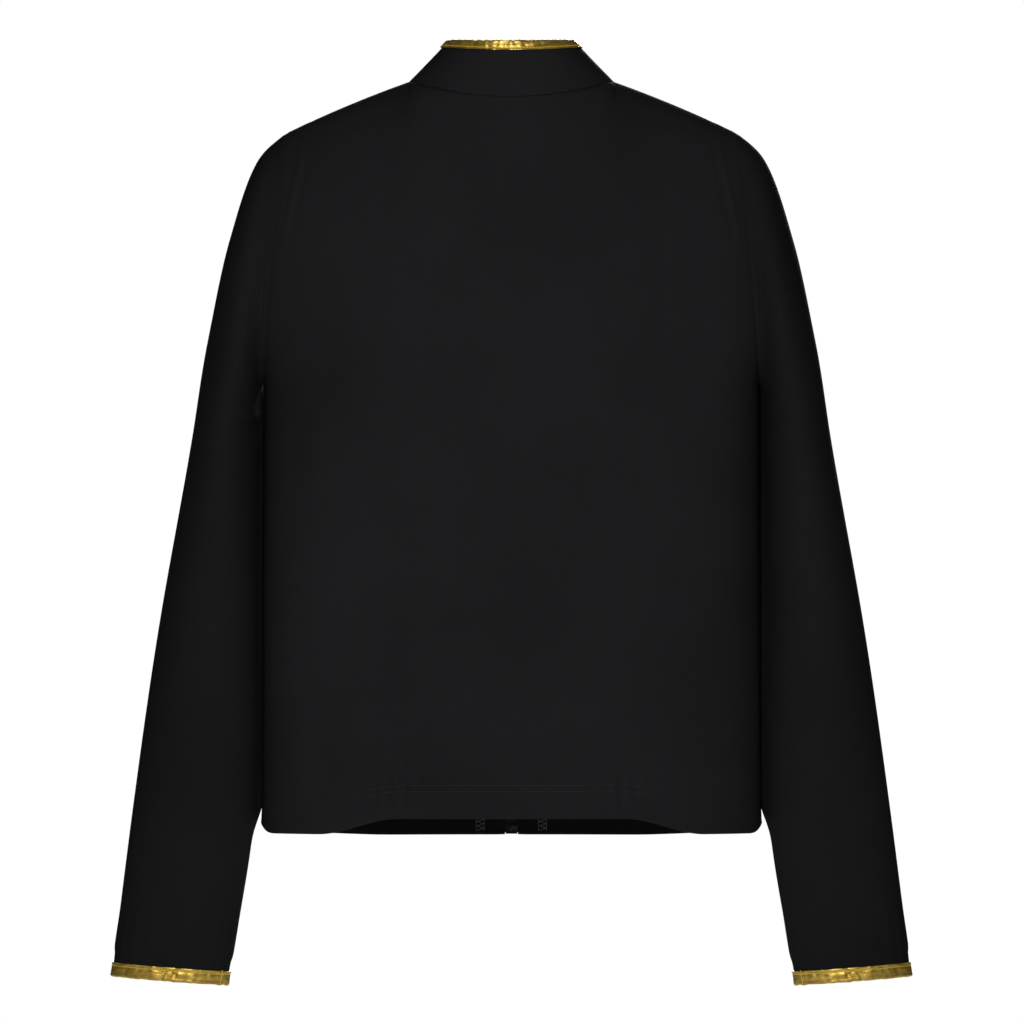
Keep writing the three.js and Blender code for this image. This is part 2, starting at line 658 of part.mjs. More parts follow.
// The tape lies flat across the zip and then follows the front panel and the collar.
function tapeSolid(sign) {
  const far = tapeEdge + zipTapeWidth;
  const bodyRows = bodyGrid(FRONT, [sign * frontEdge, sign * facingEdge], rowLevels);
  const collarRows = collarGrid([0.06, 0.5, 0.93]).map((row) =>
    sign > 0 ? [row.at(-1), row.at(-2)] : [row[0], row[1]],
  );
  const outer = [...bodyRows, ...collarRows].map(([edge, next]) => {
    const share = (far - frontEdge) / Math.abs(next.x - edge.x);
    const middle = edge.clone();
    middle.x = sign * tapeEdge;
    return [middle, edge, edge.clone().lerp(next, share)];
  });
  const sink = (depth) => outer.map((row) => row.map((p) => p.clone().addScaledVector(yHat, -depth)));
  zip.updateMatrixWorld(true);
  const notch = new THREE.BoxGeometry(2 * notchEdge, 20, 2 * notchTop).applyMatrix4(zip.matrixWorld);
  const end = new THREE.BoxGeometry(4 * far, 20, 2).applyMatrix4(zip.matrixWorld);
  const tape = solidOf(slab(sink(tapeSink), sink(tapeSink + tapeThick)));
  return tape.subtract(solidOf(notch)).subtract(solidOf(end));
}

function zipBox(name, finish, low, high) {
  addMesh(name, geometryOf(boxSolid(low, high)), finish, zip);
}

for (const [hand, sign] of Object.entries(sides)) {
  addMesh(`${hand}_zip_tape`, geometryOf(tapeSolid(sign)), "tape");
  const span = (a, b) => (sign > 0 ? [a, b] : [-b, -a]);
  const [coilLow, coilHigh] = span(coilFrom, coilTo);
  const coilBottom = (hand === "left" ? pinTop : boxTop) + seamGap;
  zipBox(`${hand}_zip_coil`, "coil", [coilLow, coilIn, coilBottom], [coilHigh, coilOut, coilTop]);
  const [stopLow, stopHigh] = span(coilFrom, coilTo + 0.3);
  const stopBottom = coilTop + seamGap;
  zipBox(`${hand}_top_stop`, "metal", [stopLow, coilIn, stopBottom], [stopHigh, coilOut + 0.2, stopTop]);
}

// The pin hangs on the left tape and stands in the box, which holds to the right tape.
const pinIn = [-coilTo + 0.6, -coilFrom];
const pinOut = coilOut - 0.1;
const pinBottom = boxBottom + 1.5;
zipBox("zip_insertion_pin", "metal", [pinIn[0], coilIn, pinBottom], [pinIn[1], pinOut, pinTop]);
const socket = boxSolid(
  [pinIn[0] - seamGap, coilIn - seamGap, pinBottom - seamGap],
  [pinIn[1] + seamGap, pinOut + seamGap, boxTop + 5],
);
const boxHalf = notchEdge - seamGap;
const retainer = boxSolid([-boxHalf, tapeIn - 0.8, boxBottom], [boxHalf, 0.9, boxTop]);
addMesh("zip_retainer_box", geometryOf(retainer.subtract(socket)), "metal", zip);

// ---- Slider and pull tab -----------------------------------------------------------------
const plateIn = coilOut + runGap;
const plateOut = plateIn + 1.1;
const underOut = tapeIn - 2 * runGap;
const underIn = underOut - 1;
const sliderTop = coilTop - 0.5;
const sliderBottom = sliderTop - sliderLength;
const barY = plateOut + 1.7;
const barZ = sliderTop - 3.4;
const barRadius = 0.6;
const pullHalf = pullWidth / 2;
const lugFrom = pullHalf + 0.4;
const lugTo = lugFrom + 0.9;
const flangeFrom = coilTo + runGap;

const slider = [
  boxSolid([-sliderHalfWidth, plateIn, sliderBottom], [sliderHalfWidth, plateOut, sliderTop]),
  boxSolid([-sliderHalfWidth, underIn, sliderBottom], [sliderHalfWidth, underOut, sliderTop]),
  boxSolid([-chainGap / 2 + 0.35, underIn, sliderTop - 4], [chainGap / 2 - 0.35, plateOut, sliderTop]),
  ...[-1, 1].flatMap((sign) => {
    const [low, high] = sign > 0 ? [flangeFrom, sliderHalfWidth] : [-sliderHalfWidth, -flangeFrom];
    const [lugLow, lugHigh] = sign > 0 ? [lugFrom, lugTo] : [-lugTo, -lugFrom];
    return [
      boxSolid([low, tapeOut + runGap, sliderBottom], [high, plateOut, sliderTop]),
      boxSolid([lugLow, plateIn, barZ - 1.6], [lugHigh, barY + 1.3, barZ + 1.6]),
    ];
  }),
  barSolid(barRadius, 2 * lugTo - 0.4, barY, barZ),
].reduce((whole, piece) => whole.add(piece));
addMesh("zip_slider", geometryOf(slider), "metal", zip);

const eyeRadius = 1.35;
const pullOutline = new THREE.Shape();
const cornerRound = 1.6;
const cornerAt = [pullHalf - cornerRound, cornerRound - pullLength];
pullOutline.moveTo(-pullHalf, 0);
pullOutline.lineTo(pullHalf, 0);
pullOutline.absarc(cornerAt[0], cornerAt[1], cornerRound, 0, -Math.PI / 2, true);
pullOutline.absarc(-cornerAt[0], cornerAt[1], cornerRound, -Math.PI / 2, -Math.PI, true);
const pullSlot = new THREE.Path();
pullSlot.moveTo(-0.9, -pullLength + 4);
pullSlot.lineTo(0.9, -pullLength + 4);
pullSlot.lineTo(0.9, -pullLength + 9);
pullSlot.lineTo(-0.9, -pullLength + 9);
pullOutline.holes.push(pullSlot);
const pullThick = 1.2;
const blade = new THREE.ExtrudeGeometry(pullOutline, {
  depth: pullThick,
  bevelEnabled: false,
  curveSegments: 5,
});
blade.rotateX(Math.PI / 2).translate(0, barY + pullThick / 2, barZ);
const pull = solidOf(blade)
  .add(barSolid(eyeRadius, pullWidth, barY, barZ))
  .subtract(barSolid(barRadius + runGap, pullWidth + 2, barY, barZ));
addMesh("zip_pull_tab", geometryOf(pull), "metal", zip);

export default jacket;
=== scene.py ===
"""A long-sleeved stretch jacket with a stand collar, gold bindings and a centre-front zip.

Every piece of cloth is a closed skin worked out from the body's surface, the sleeve's surface
or the collar's surface. Shapes are worked out in millimetres and stored in metres.
"""

import logging
import math
from collections.abc import Callable
from dataclasses import dataclass, field
from enum import Enum

import bpy
import numpy as np
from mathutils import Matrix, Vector


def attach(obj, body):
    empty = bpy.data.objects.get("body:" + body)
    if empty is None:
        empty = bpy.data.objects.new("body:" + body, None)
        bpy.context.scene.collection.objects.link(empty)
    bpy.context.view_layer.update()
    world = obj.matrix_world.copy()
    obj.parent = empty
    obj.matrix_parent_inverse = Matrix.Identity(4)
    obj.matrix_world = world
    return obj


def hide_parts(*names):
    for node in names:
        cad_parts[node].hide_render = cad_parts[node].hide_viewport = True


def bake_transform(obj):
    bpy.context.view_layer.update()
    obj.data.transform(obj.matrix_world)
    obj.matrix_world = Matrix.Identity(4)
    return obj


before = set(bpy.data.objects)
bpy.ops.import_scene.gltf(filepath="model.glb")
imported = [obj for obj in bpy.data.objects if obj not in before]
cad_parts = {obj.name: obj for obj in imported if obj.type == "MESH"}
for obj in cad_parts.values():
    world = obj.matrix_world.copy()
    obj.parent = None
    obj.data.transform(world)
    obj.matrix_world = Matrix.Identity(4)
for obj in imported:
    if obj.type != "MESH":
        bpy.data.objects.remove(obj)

Array = np.ndarray
MM = 0.001
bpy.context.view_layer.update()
log = logging.getLogger("jacket")


class Side(Enum):
    """Which face of the body a layer lies on: the sign of its depth along Y."""

    BACK = -1
    FRONT = 1


class Hand(Enum):
    """The wearer's side of a paired piece: the sign of its X."""

    LEFT = -1
    RIGHT = 1

    @property
    def word(self) -> str:
        """The word that piece and node names start with."""
        return self.name.lower()


# ---- Small maths ---------------------------------------------------------------------------
def mix(a: Array | float, b: Array | float, t: Array | float) -> Array:
    """The value a share t of the way from a to b."""
    return a + (np.asarray(b) - a) * t


def smooth(low: float, high: float, x: Array | float) -> Array:
    """A smooth step: 3t^2 - 2t^3 of x's clipped share between low and high."""
    t = np.clip((x - low) / (high - low), 0, 1)
    return t * t * (3 - 2 * t)


def bump(x: Array, centre: Array | float, width: Array | float) -> Array:
    """A bell of height 1: exp(-((x - centre) / width)^2)."""
    return np.exp(-(((x - centre) / width) ** 2))


def unit(v: Array) -> Array:
    """Vectors scaled to length 1, with zero vectors left alone."""
    return v / np.maximum(np.linalg.norm(v, axis=-1, keepdims=True), 1e-12)


def xyz(x: Array | float, y: Array | float, z: Array | float) -> Array:
    """Broadcasts three coordinate arrays and stacks them on a last axis."""
    return np.stack(np.broadcast_arrays(x, y, z), axis=-1).astype(float)


def flattened(v: Array, across: Array) -> Array:
    """The part of v in the plane square to the unit vector across, at length 1."""
    return unit(v - across * np.sum(v * across, axis=-1, keepdims=True))


def away_normals(grid: Array, outward: Array) -> Array:
    """Normals of a grid of points: the cross product of its two differences, turned outward.

    Args:
        grid: points, rows by columns by 3.
        outward: rough outward directions of the same shape.

    Returns:
        Unit normals of the same shape.
    """
    normal = unit(np.cross(np.gradient(grid, axis=1), np.gradient(grid, axis=0)))
    return np.where(np.sum(normal * outward, axis=-1, keepdims=True) < 0, -normal, normal)


@dataclass(frozen=True)
class Ripple:
    """Smooth noise over a plane, from a seeded 64 by 64 lattice that repeats."""

    seed: int
    size: int = 64

    def at(self, u: Array, v: Array) -> Array:
        """Lattice values blended by smooth steps in u and v, between about -2 and 2.

        Args:
            u: places along the lattice's rows, in cells.
            v: places along its columns, in cells.

        Returns:
            The noise, in the common shape of u and v.
        """
        table = np.random.default_rng(self.seed).standard_normal((self.size, self.size))
        u, v = np.broadcast_arrays(u, v)
        iu, iv = np.floor(u).astype(int), np.floor(v).astype(int)
        fu, fv = smooth(0, 1, u - iu), smooth(0, 1, v - iv)
        row, next_row = iu % self.size, (iu + 1) % self.size
        sides = (iv % self.size, (iv + 1) % self.size)
        low, high = (mix(table[row, side], table[next_row, side], fu) for side in sides)
        return mix(low, high, fv)


# ---- Meshes --------------------------------------------------------------------------------
def piece_from(name: str, points: Array, quads: Array, uv: Array | None = None) -> bpy.types.Object:
    """Makes a mesh object of quads, turned face out if it encloses a negative volume.

    Args:
        name: the piece's name.
        points: vertices in millimetres, one row each.
        quads: vertex numbers, four to a row.
        uv: places on the cloth in metres for each corner, quads by 4 by 2.

    Returns:
        The new object, at the origin, with smooth faces and sharp edges over 50 degrees.
    """
    points = points.reshape(-1, 3) * MM
    a, b, c, d = (points[quads[:, k]] for k in range(4))
    if np.sum(np.cross(b, c) * a + np.cross(c, d) * a) < 0:
        quads = quads[:, ::-1]
        uv = None if uv is None else uv[:, ::-1]
    mesh = bpy.data.meshes.new(name)
    mesh.vertices.add(len(points))
    mesh.vertices.foreach_set("co", points.astype(np.float32).ravel())
    mesh.loops.add(quads.size)
    mesh.loops.foreach_set("vertex_index", quads.astype(np.int32).ravel())
    mesh.polygons.add(len(quads))
    mesh.polygons.foreach_set("loop_start", np.arange(0, quads.size, 4, dtype=np.int32))
    mesh.polygons.foreach_set("loop_total", np.full(len(quads), 4, dtype=np.int32))
    if uv is not None:
        layer = mesh.uv_layers.new(name="cloth")
        layer.data.foreach_set("uv", uv.astype(np.float32).ravel())
    mesh.update(calc_edges=True)
    mesh.validate()
    mesh.shade_smooth()
    mesh.set_sharp_from_angle(angle=math.radians(50))
    piece = bpy.data.objects.new(name, mesh)
    bpy.context.scene.collection.objects.link(piece)
    return piece


def grid_quads(rows: int, columns: int, wrap: bool = False) -> Array:
    """Vertex numbers of the quads of a grid, whose last column runs on to the first with wrap.

    Args:
        rows: rows of points.
        columns: columns of points.
        wrap: whether the last column runs on to the first.

    Returns:
        Vertex numbers, four to a row.
    """
    r, c = np.meshgrid(np.arange(rows - 1), np.arange(columns - (not wrap)), indexing="ij")
    nxt = (c + 1) % columns
    corners = (r * columns + c, r * columns + nxt, (r + 1) * columns + nxt, (r + 1) * columns + c)
    return np.stack(corners, axis=-1).reshape(-1, 4)


def grid_lengths(grid: Array) -> tuple[Array, Array]:
    """Running lengths in metres along a grid's columns and rows, as cloth coordinates.

    Args:
        grid: points, rows by columns by 3.

    Returns:
        Lengths across each row, from its middle, and down each column.
    """
    steps_u = np.linalg.norm(np.diff(grid, axis=1), axis=-1) * MM
    steps_v = np.linalg.norm(np.diff(grid, axis=0), axis=-1) * MM
    u = np.concatenate([np.zeros((grid.shape[0], 1)), np.cumsum(steps_u, axis=1)], axis=1)
    v = np.concatenate([np.zeros((1, grid.shape[1])), np.cumsum(steps_v, axis=0)], axis=0)
    return u - u[:, -1:] / 2, v


def cloth_slab(name: str, outer: Array, inner: Array, roll: float = 0.12) -> bpy.types.Object:
    """A sheet between two grids, with its rim bulged by a middle row between them.

    The rim's middle is (outer + inner) / 2, moved by roll away from the sheet's own inside.

    Args:
        name: the piece's name.
        outer: the outer face's points, rows by columns by 3.
        inner: the inner face's points, of the same shape.
        roll: how far the rim bulges, in millimetres.

    Returns:
        The closed piece with its cloth coordinates.
    """
    rows, columns = outer.shape[:2]
    number = np.arange(rows * columns).reshape(rows, columns)
    rim = np.concatenate([number[0, :-1], number[:-1, -1], number[-1, :0:-1], number[:0:-1, 0]])
    middle = (outer + inner) / 2
    inside = np.pad(middle[1:-1, 1:-1], ((1, 1), (1, 1), (0, 0)), mode="edge")
    edge = middle.reshape(-1, 3)[rim] + roll * unit((middle - inside).reshape(-1, 3)[rim])
    faces = grid_quads(rows, columns)
    shift, at = rows * columns, 2 * rows * columns + np.arange(len(rim))
    nxt, at_next = np.roll(rim, -1), np.roll(at, -1)
    walls = [
        np.stack([nxt, rim, at, at_next], axis=-1),
        np.stack([at_next, at, rim + shift, nxt + shift], axis=-1),
    ]
    quads = np.concatenate([faces, faces[:, ::-1] + shift, *walls])
    u, v = grid_lengths(outer)
    flat = np.stack([u, v], axis=-1).reshape(-1, 2)
    uv = np.concatenate([flat, flat, flat[rim]])[quads]
    points = np.concatenate([outer.reshape(-1, 3), inner.reshape(-1, 3), edge])
    return piece_from(name, points, quads, uv)


def ring_skin(name: str, rings: Array, joined: bool) -> bpy.types.Object:
    """A closed skin through rings of equally many points.

    Args:
        name: the piece's name.
        rings: points, rings by points by 3.
        joined: whether the last ring runs on to the first; if not, both ends get a flat cap,
            which needs an even number of points in a ring.

    Returns:
        The piece, with lengths round and along the rings as cloth coordinates.
    """
    count, size = rings.shape[:2]
    looped = np.concatenate([rings, rings[:1]]) if joined else rings
    closed = np.concatenate([looped, looped[:, :1]], axis=1)
    u, v = grid_lengths(closed)
    quads = grid_quads(len(looped), size, wrap=True)
    cell = grid_quads(len(looped), size + 1)
    uv = np.stack([u, v], axis=-1).reshape(-1, 2)[cell]
    if joined:
        quads = quads % (count * size)
    else:
        k = np.arange(0, size - 2, 2)
        cap = np.stack([np.zeros_like(k), k + 1, k + 2, k + 3], axis=-1) % size
        last = cap + (count - 1) * size
        quads = np.concatenate([quads, cap[:, ::-1], last])
        flat = np.stack([u[:, :-1], v[:, :-1]], axis=-1).reshape(-1, 2)
        uv = np.concatenate([uv, flat[cap[:, ::-1]], flat[last]])
    return piece_from(name, rings, quads, uv)


def thread_row(
    name: str, centre: Array, ahead: Array, up: Array, length: float, radius: float, arch: float = 0.25
) -> bpy.types.Object:
    """A row of stitches in one mesh: each is a short six-sided thread, arched over the cloth.

    A station at share t of the stitch, -1 to 1, stands arch * (1 - t^2) above the cloth, and
    its radius falls to three fifths at the ends.

    Args:
        name: the piece's name.
        centre: the middle of each stitch on the cloth.
        ahead: the direction that each stitch runs in.
        up: the direction away from the cloth.
        length: a stitch's length in millimetres.
        radius: the thread's radius.
        arch: how high the middle stands over the ends.

    Returns:
        The piece.
    """
    t = np.linspace(-1, 1, 5)
    angle = np.linspace(0, 2 * math.pi, 6, endpoint=False)
    up = flattened(up, unit(ahead))
    aside = np.cross(unit(ahead), up)
    spine = centre[:, None] + unit(ahead)[:, None] * (t * length / 2)[None, :, None]
    spine = spine + up[:, None] * (arch * (1 - t**2) + radius * 0.6)[None, :, None]
    thick = (radius * (1 - 0.4 * t**2))[None, :, None, None]
    round_ = (
        np.cos(angle)[None, None, :, None] * aside[:, None, None]
        + np.sin(angle)[None, None, :, None] * up[:, None, None]
    )
    points = spine[:, :, None] + thick * round_
    wall = grid_quads(5, 6, wrap=True)
    cap = np.array([[0, 1, 2, 3], [0, 3, 4, 5]])
    one = np.concatenate([wall, cap[:, ::-1], cap + 24])
    quads = (one[None] + (np.arange(len(centre)) * 30)[:, None, None]).reshape(-1, 4)
    return piece_from(name, points, quads, np.zeros((len(quads), 4, 2)))


def along_path(path: Array, pitch: float, ends: float = 0.0) -> tuple[Array, Array]:
    """Places evenly spaced along a path.

    Args:
        path: points, one row each.
        pitch: the spacing in millimetres.
        ends: the length left free at each end.

    Returns:
        The share of the way along the path's point numbers for each place, and its direction.
    """
    run = np.concatenate([[0], np.cumsum(np.linalg.norm(np.diff(path, axis=0), axis=1))])
    places = np.arange(ends, run[-1] - ends, pitch) + pitch / 2
    number = np.interp(places[places < run[-1]], run, np.arange(len(path)))
    return number, unit(sample(np.gradient(path, axis=0), number))


def sample(values: Array, number: Array) -> Array:
    """Values of a list of vectors at fractional places in it."""
    return np.stack([np.interp(number, np.arange(len(values)), v) for v in values.T], axis=-1)


def zigzag(count: int) -> Array:
    """A column of 1 and -1 by turns."""
    return np.where(np.arange(count) % 2 == 0, 1.0, -1.0)[:, None]


# ---- The jacket's form ---------------------------------------------------------------------
@dataclass(frozen=True)
class BodyForm:
    """The body's outer surface, in millimetres, with the origin in the neck opening."""

    armpit_half: float = 187
    hem_half: float = 188.5
    back_depth: float = 82
    hem_back_depth: float = 75
    front_depth: float = 72
    side_drop: float = 565
    hem_arch: float = 12
    front_dip: float = 3.4
    hem_corner: float = 9
    hem_corner_lift: float = 7
    shoulder_half: float = 170
    shoulder_drop: float = 39
    shoulder_crown: float = 1.5
    armpit_drop: float = 228
    armhole_half: float = 44
    squareness: float = 2.2
    neck_half: float = 77
    neck_back: float = 50
    neck_front: float = 60
    neck_back_drop: float = 13
    neck_front_drop: float = 62
    top_half: float = 48
    top_back: float = 44
    top_height: float = 30
    top_back_rise: float = -1.2
    top_front_drop: float = 50
    front_edge: float = 5.2
    panel_thick: float = 1.4

    @property
    def zip_bottom(self) -> float:
        """Height of the zip's lower end."""
        return -self.side_drop - 5

    @property
    def neck_share(self) -> float:
        """Where the shoulder seam meets the collar, as a share of the shoulder's half width."""
        return self.neck_half / self.shoulder_half

    @property
    def zip_slope(self) -> float:
        """How far the front leans back for each millimetre up."""
        return (self.front_depth - self.neck_front) / -(self.zip_bottom + self.neck_front_drop)

    def zip_depth(self, z: Array | float) -> Array:
        """Depth of the centre front at a height: a straight line from the hem to the neck."""
        return self.front_depth - self.zip_slope * (z - self.zip_bottom)

    def opening_angle(self, half: Array | float) -> Array:
        """Angle round the neck of the front edge on a level of this half width."""
        return math.pi - np.arcsin(self.front_edge / half)

    @property
    def top_front(self) -> float:
        """Depth of the collar's top level that brings its front ends to the zip's line."""
        depth = self.zip_depth(self.top_height - self.top_front_drop)
        return depth / abs(math.cos(self.opening_angle(self.top_half)))

    def shoulder_line(self, x: Array) -> Array:
        """Height of the shoulder seam: a straight fall with a small parabola on it."""
        s = (np.abs(x) - self.neck_half) / (self.shoulder_half - self.neck_half)
        return -self.shoulder_drop * s + 4 * self.shoulder_crown * s * (1 - s)

    def neck(self, angle: Array) -> Array:
        """The collar seam at an angle from the centre back: an ellipse that dips by cos^2.

        Args:
            angle: 0 at the centre back, half a turn at the centre front.

        Returns:
            Points in millimetres.
        """
        c = np.cos(angle)
        drop = np.where(c > 0, self.neck_back_drop, self.neck_front_drop) * c * c
        depth = np.where(c > 0, self.neck_back, self.neck_front) * c
        return xyz(self.neck_half * np.sin(angle), -depth, -drop)

    def collar_top(self, angle: Array) -> Array:
        """The collar's top edge at an angle, the same way.

        Args:
            angle: 0 at the centre back, half a turn at the centre front.

        Returns:
            Points in millimetres.
        """
        c = np.cos(angle)
        rise = np.where(c > 0, self.top_back_rise, -self.top_front_drop) * c * c
        depth = np.where(c > 0, self.top_back, self.top_front) * c
        return xyz(self.top_half * np.sin(angle), -depth, self.top_height + rise)

    def section(self, x: Array, half: Array | float, depth: Array | float) -> Array:
        """Depth of a superellipse: depth * (1 - |x / half|^n)^(1/n)."""
        share = np.minimum(np.abs(x / half), 1)
        return depth * (1 - share**self.squareness) ** (1 / self.squareness)

    def lower(self, side: Side, across: Array, rise: Array) -> Array:
        """Below the armpits: superellipse sections from the hem (0) to the armpit level (1).

        Args:
            side: back or front.
            across: shares of the half width, 0 in the middle to 1 at the side.
            rise: 0 at the hem to 1 at the armpits.

        Returns:
            Points in millimetres, on the side where x is positive.
        """
        half = mix(self.hem_half, self.armpit_half, rise)
        x = half * across
        if side is Side.BACK:
            hem = -self.side_drop + self.hem_arch * (1 - smooth(85, 145, np.abs(x)))
        else:
            hem = -self.side_drop - self.front_dip * (1 - smooth(90, 186, np.abs(x)))
        corner = np.clip((np.abs(x) - half + self.hem_corner) / self.hem_corner, 0, 1)
        hem = hem + self.hem_corner_lift * corner**2.4
        z = mix(hem, -self.armpit_drop, rise)
        deep = mix(self.hem_back_depth, self.back_depth, smooth(0, 1, rise))
        depth = deep if side is Side.BACK else self.zip_depth(z)
        return xyz(x, side.value * self.section(x, half, depth), z)

    def upper(self, side: Side, across: Array, rise: Array) -> Array:
        """Above the armpits: sections that narrow to the armhole's edge and close at the seams.

        The section's half width is stretched so that its edge keeps the armhole's depth, and
        the whole rolls over to the shoulder seam and the collar seam as rise nears 1.

        Args:
            side: back or front.
            across: shares of the half width, 0 in the middle to 1 at the side.
            rise: 0 at the armpits to 1 at the seams.

        Returns:
            Points in millimetres, on the side where x is positive.
        """
        edge = mix(self.armpit_half, self.shoulder_half, rise)
        x, top_x = edge * across, self.shoulder_half * across
        in_neck = across < self.neck_share
        angle = np.arcsin(np.minimum(across / self.neck_share, 1))
        seam = self.neck(angle if side is Side.BACK else math.pi - angle)
        top_z = np.where(in_neck, seam[..., 2], self.shoulder_line(top_x))
        neck_depth = self.neck_back if side is Side.BACK else self.neck_front
        soft_neck = (1 + np.cos(math.pi * np.minimum(top_x / (1.45 * self.neck_half), 1))) / 2
        seam_depth = np.where(in_neck, np.abs(seam[..., 1]), 0)
        top_depth = mix(neck_depth * soft_neck, seam_depth, rise**10)
        soft_top = -self.shoulder_drop * (0.1 + 0.9 * (top_x / self.shoulder_half) ** 2.6)
        soft = soft_top if side is Side.BACK else top_z
        z = mix(-self.armpit_drop, soft, rise) + (top_z - soft) * rise**7
        swell = np.maximum(1 - rise**2.5, 0)
        roll = swell ** mix(1, 0.5, smooth(0, self.neck_share, across))
        edge_depth = self.armhole_half * 2 * np.sqrt(np.maximum(rise * (1 - rise), 0))
        edge_depth = edge_depth / np.maximum(np.sqrt(swell), 1e-4)
        depth = self.back_depth
        if side is Side.FRONT:
            straight = self.zip_depth(-self.armpit_drop) - self.neck_front
            share = np.where(swell > 1e-6, (1 - rise) / np.maximum(swell, 1e-6), 0)
            depth = self.neck_front + straight * share
        ratio = np.minimum(edge_depth / depth, 0.98)
        virtual = edge / (1 - ratio**self.squareness) ** (1 / self.squareness)
        y = self.section(x, virtual, depth) * roll + top_depth * (1 - roll)
        return xyz(x, side.value * y, z)

    def eased(self, grid: Array, share: Array, level: Array) -> Array:
        """Evens out the crease that runs down from the collar's corner, by repeated averaging.

        Each pass moves a point half way to the mean of its two neighbours across the body,
        near the corner's column and below the seams only.

        Args:
            grid: the panel's points, which are changed in place.
            share: signed shares of the half width.
            level: levels from 0 to 2.

        Returns:
            The same grid.
        """
        near = bump(np.abs(share), self.neck_share, 0.12) * (1 - smooth(1.86, 1.97, level))
        weight = (0.5 * near * smooth(0.9, 1.2, level))[:, 1:-1, None]
        for _ in range(60):
            mean = (grid[:, 2:] + grid[:, :-2]) / 2
            grid[:, 1:-1] += weight * (mean - grid[:, 1:-1])
        return grid

    def surface(self, side: Side, share: Array, level: Array) -> Array:
        """Points at signed shares of the half width and levels: 0 hem, 1 armpits, 2 top.

        Args:
            side: back or front.
            share: signed shares of the half width.
            level: levels from 0 to 2.

        Returns:
            Points in millimetres.
        """
        share, level = np.broadcast_arrays(share, level)
        size = np.abs(share)
        low = self.lower(side, size, np.minimum(level, 1))
        high = self.upper(side, size, np.maximum(level - 1, 0))
        points = np.where((level < 1)[..., None], low, high)
        points[..., 0] *= np.where(share < 0, -1, 1)
        return points

    def half_width(self, level: Array) -> Array:
        """Half of the body's width at a level."""
        low = mix(self.hem_half, self.armpit_half, np.minimum(level, 1))
        return np.where(level < 1, low, mix(self.armpit_half, self.shoulder_half, level - 1))

    def normals(self, grid: Array) -> Array:
        """Outward normals of a grid of the body, along Y's plane at the shoulder seam."""
        outward = grid * np.array([0.3, 1, 0]) + np.array([0, 0, 20])
        return away_normals(grid, outward)

    def collar(self, share: Array, rise: Array) -> Array:
        """The collar's outer face: straight lines from the seam to the top, share -1 to 1.

        Args:
            share: places round the collar, from one front end to the other.
            rise: 0 at the seam to 1 at the top edge.

        Returns:
            Points in millimetres.
        """
        end = mix(self.opening_angle(self.neck_half), self.opening_angle(self.top_half), rise)
        r = np.broadcast_to(rise, np.broadcast_shapes(np.shape(share), np.shape(rise)))[..., None]
        return mix(self.neck(share * end), self.collar_top(share * end), r)

    def collar_normals(self, grid: Array) -> Array:
        """Outward normals of the collar, square to the zip at its two ends.

        Args:
            grid: the collar's points, rows by columns by 3.

        Returns:
            Unit normals of the same shape.
        """
        normal = away_normals(grid, grid * np.array([1, 1, 0]))
        normal[:, [0, -1]] = (0, 1, 0)
        return normal


def spline(stations: Array, share: Array) -> Array:
    """A centripetal Catmull-Rom curve through stations, at shares of their count.

    Each span is the cubic whose end slopes come from the neighbours' distances to the power
    of a half; past the ends a station is mirrored.

    Args:
        stations: points, one row each.
        share: places from 0 to 1, evenly over the spans.

    Returns:
        Points on the curve.
    """
    p = np.concatenate([[2 * stations[0] - stations[1]], stations, [2 * stations[-1] - stations[-2]]])
    at = np.clip(share, 0, 1) * (len(stations) - 1)
    k = np.minimum(at.astype(int), len(stations) - 2)
    t = (at - k)[..., None]
    p0, p1, p2, p3 = (p[k + j] for j in range(4))
    spans = (p1 - p0, p2 - p1, p3 - p2)
    d0, d1, d2 = (np.linalg.norm(span, axis=-1, keepdims=True) ** 0.5 for span in spans)
    m1 = ((p1 - p0) / d0 - (p2 - p0) / (d0 + d1) + (p2 - p1) / d1) * d1
    m2 = ((p2 - p1) / d1 - (p3 - p1) / (d1 + d2) + (p3 - p2) / d2) * d1
    cubic, square = 2 * p1 - 2 * p2 + m1 + m2, -3 * p1 + 3 * p2 - 2 * m1 - m2
    return cubic * t**3 + square * t**2 + m1 * t + p1


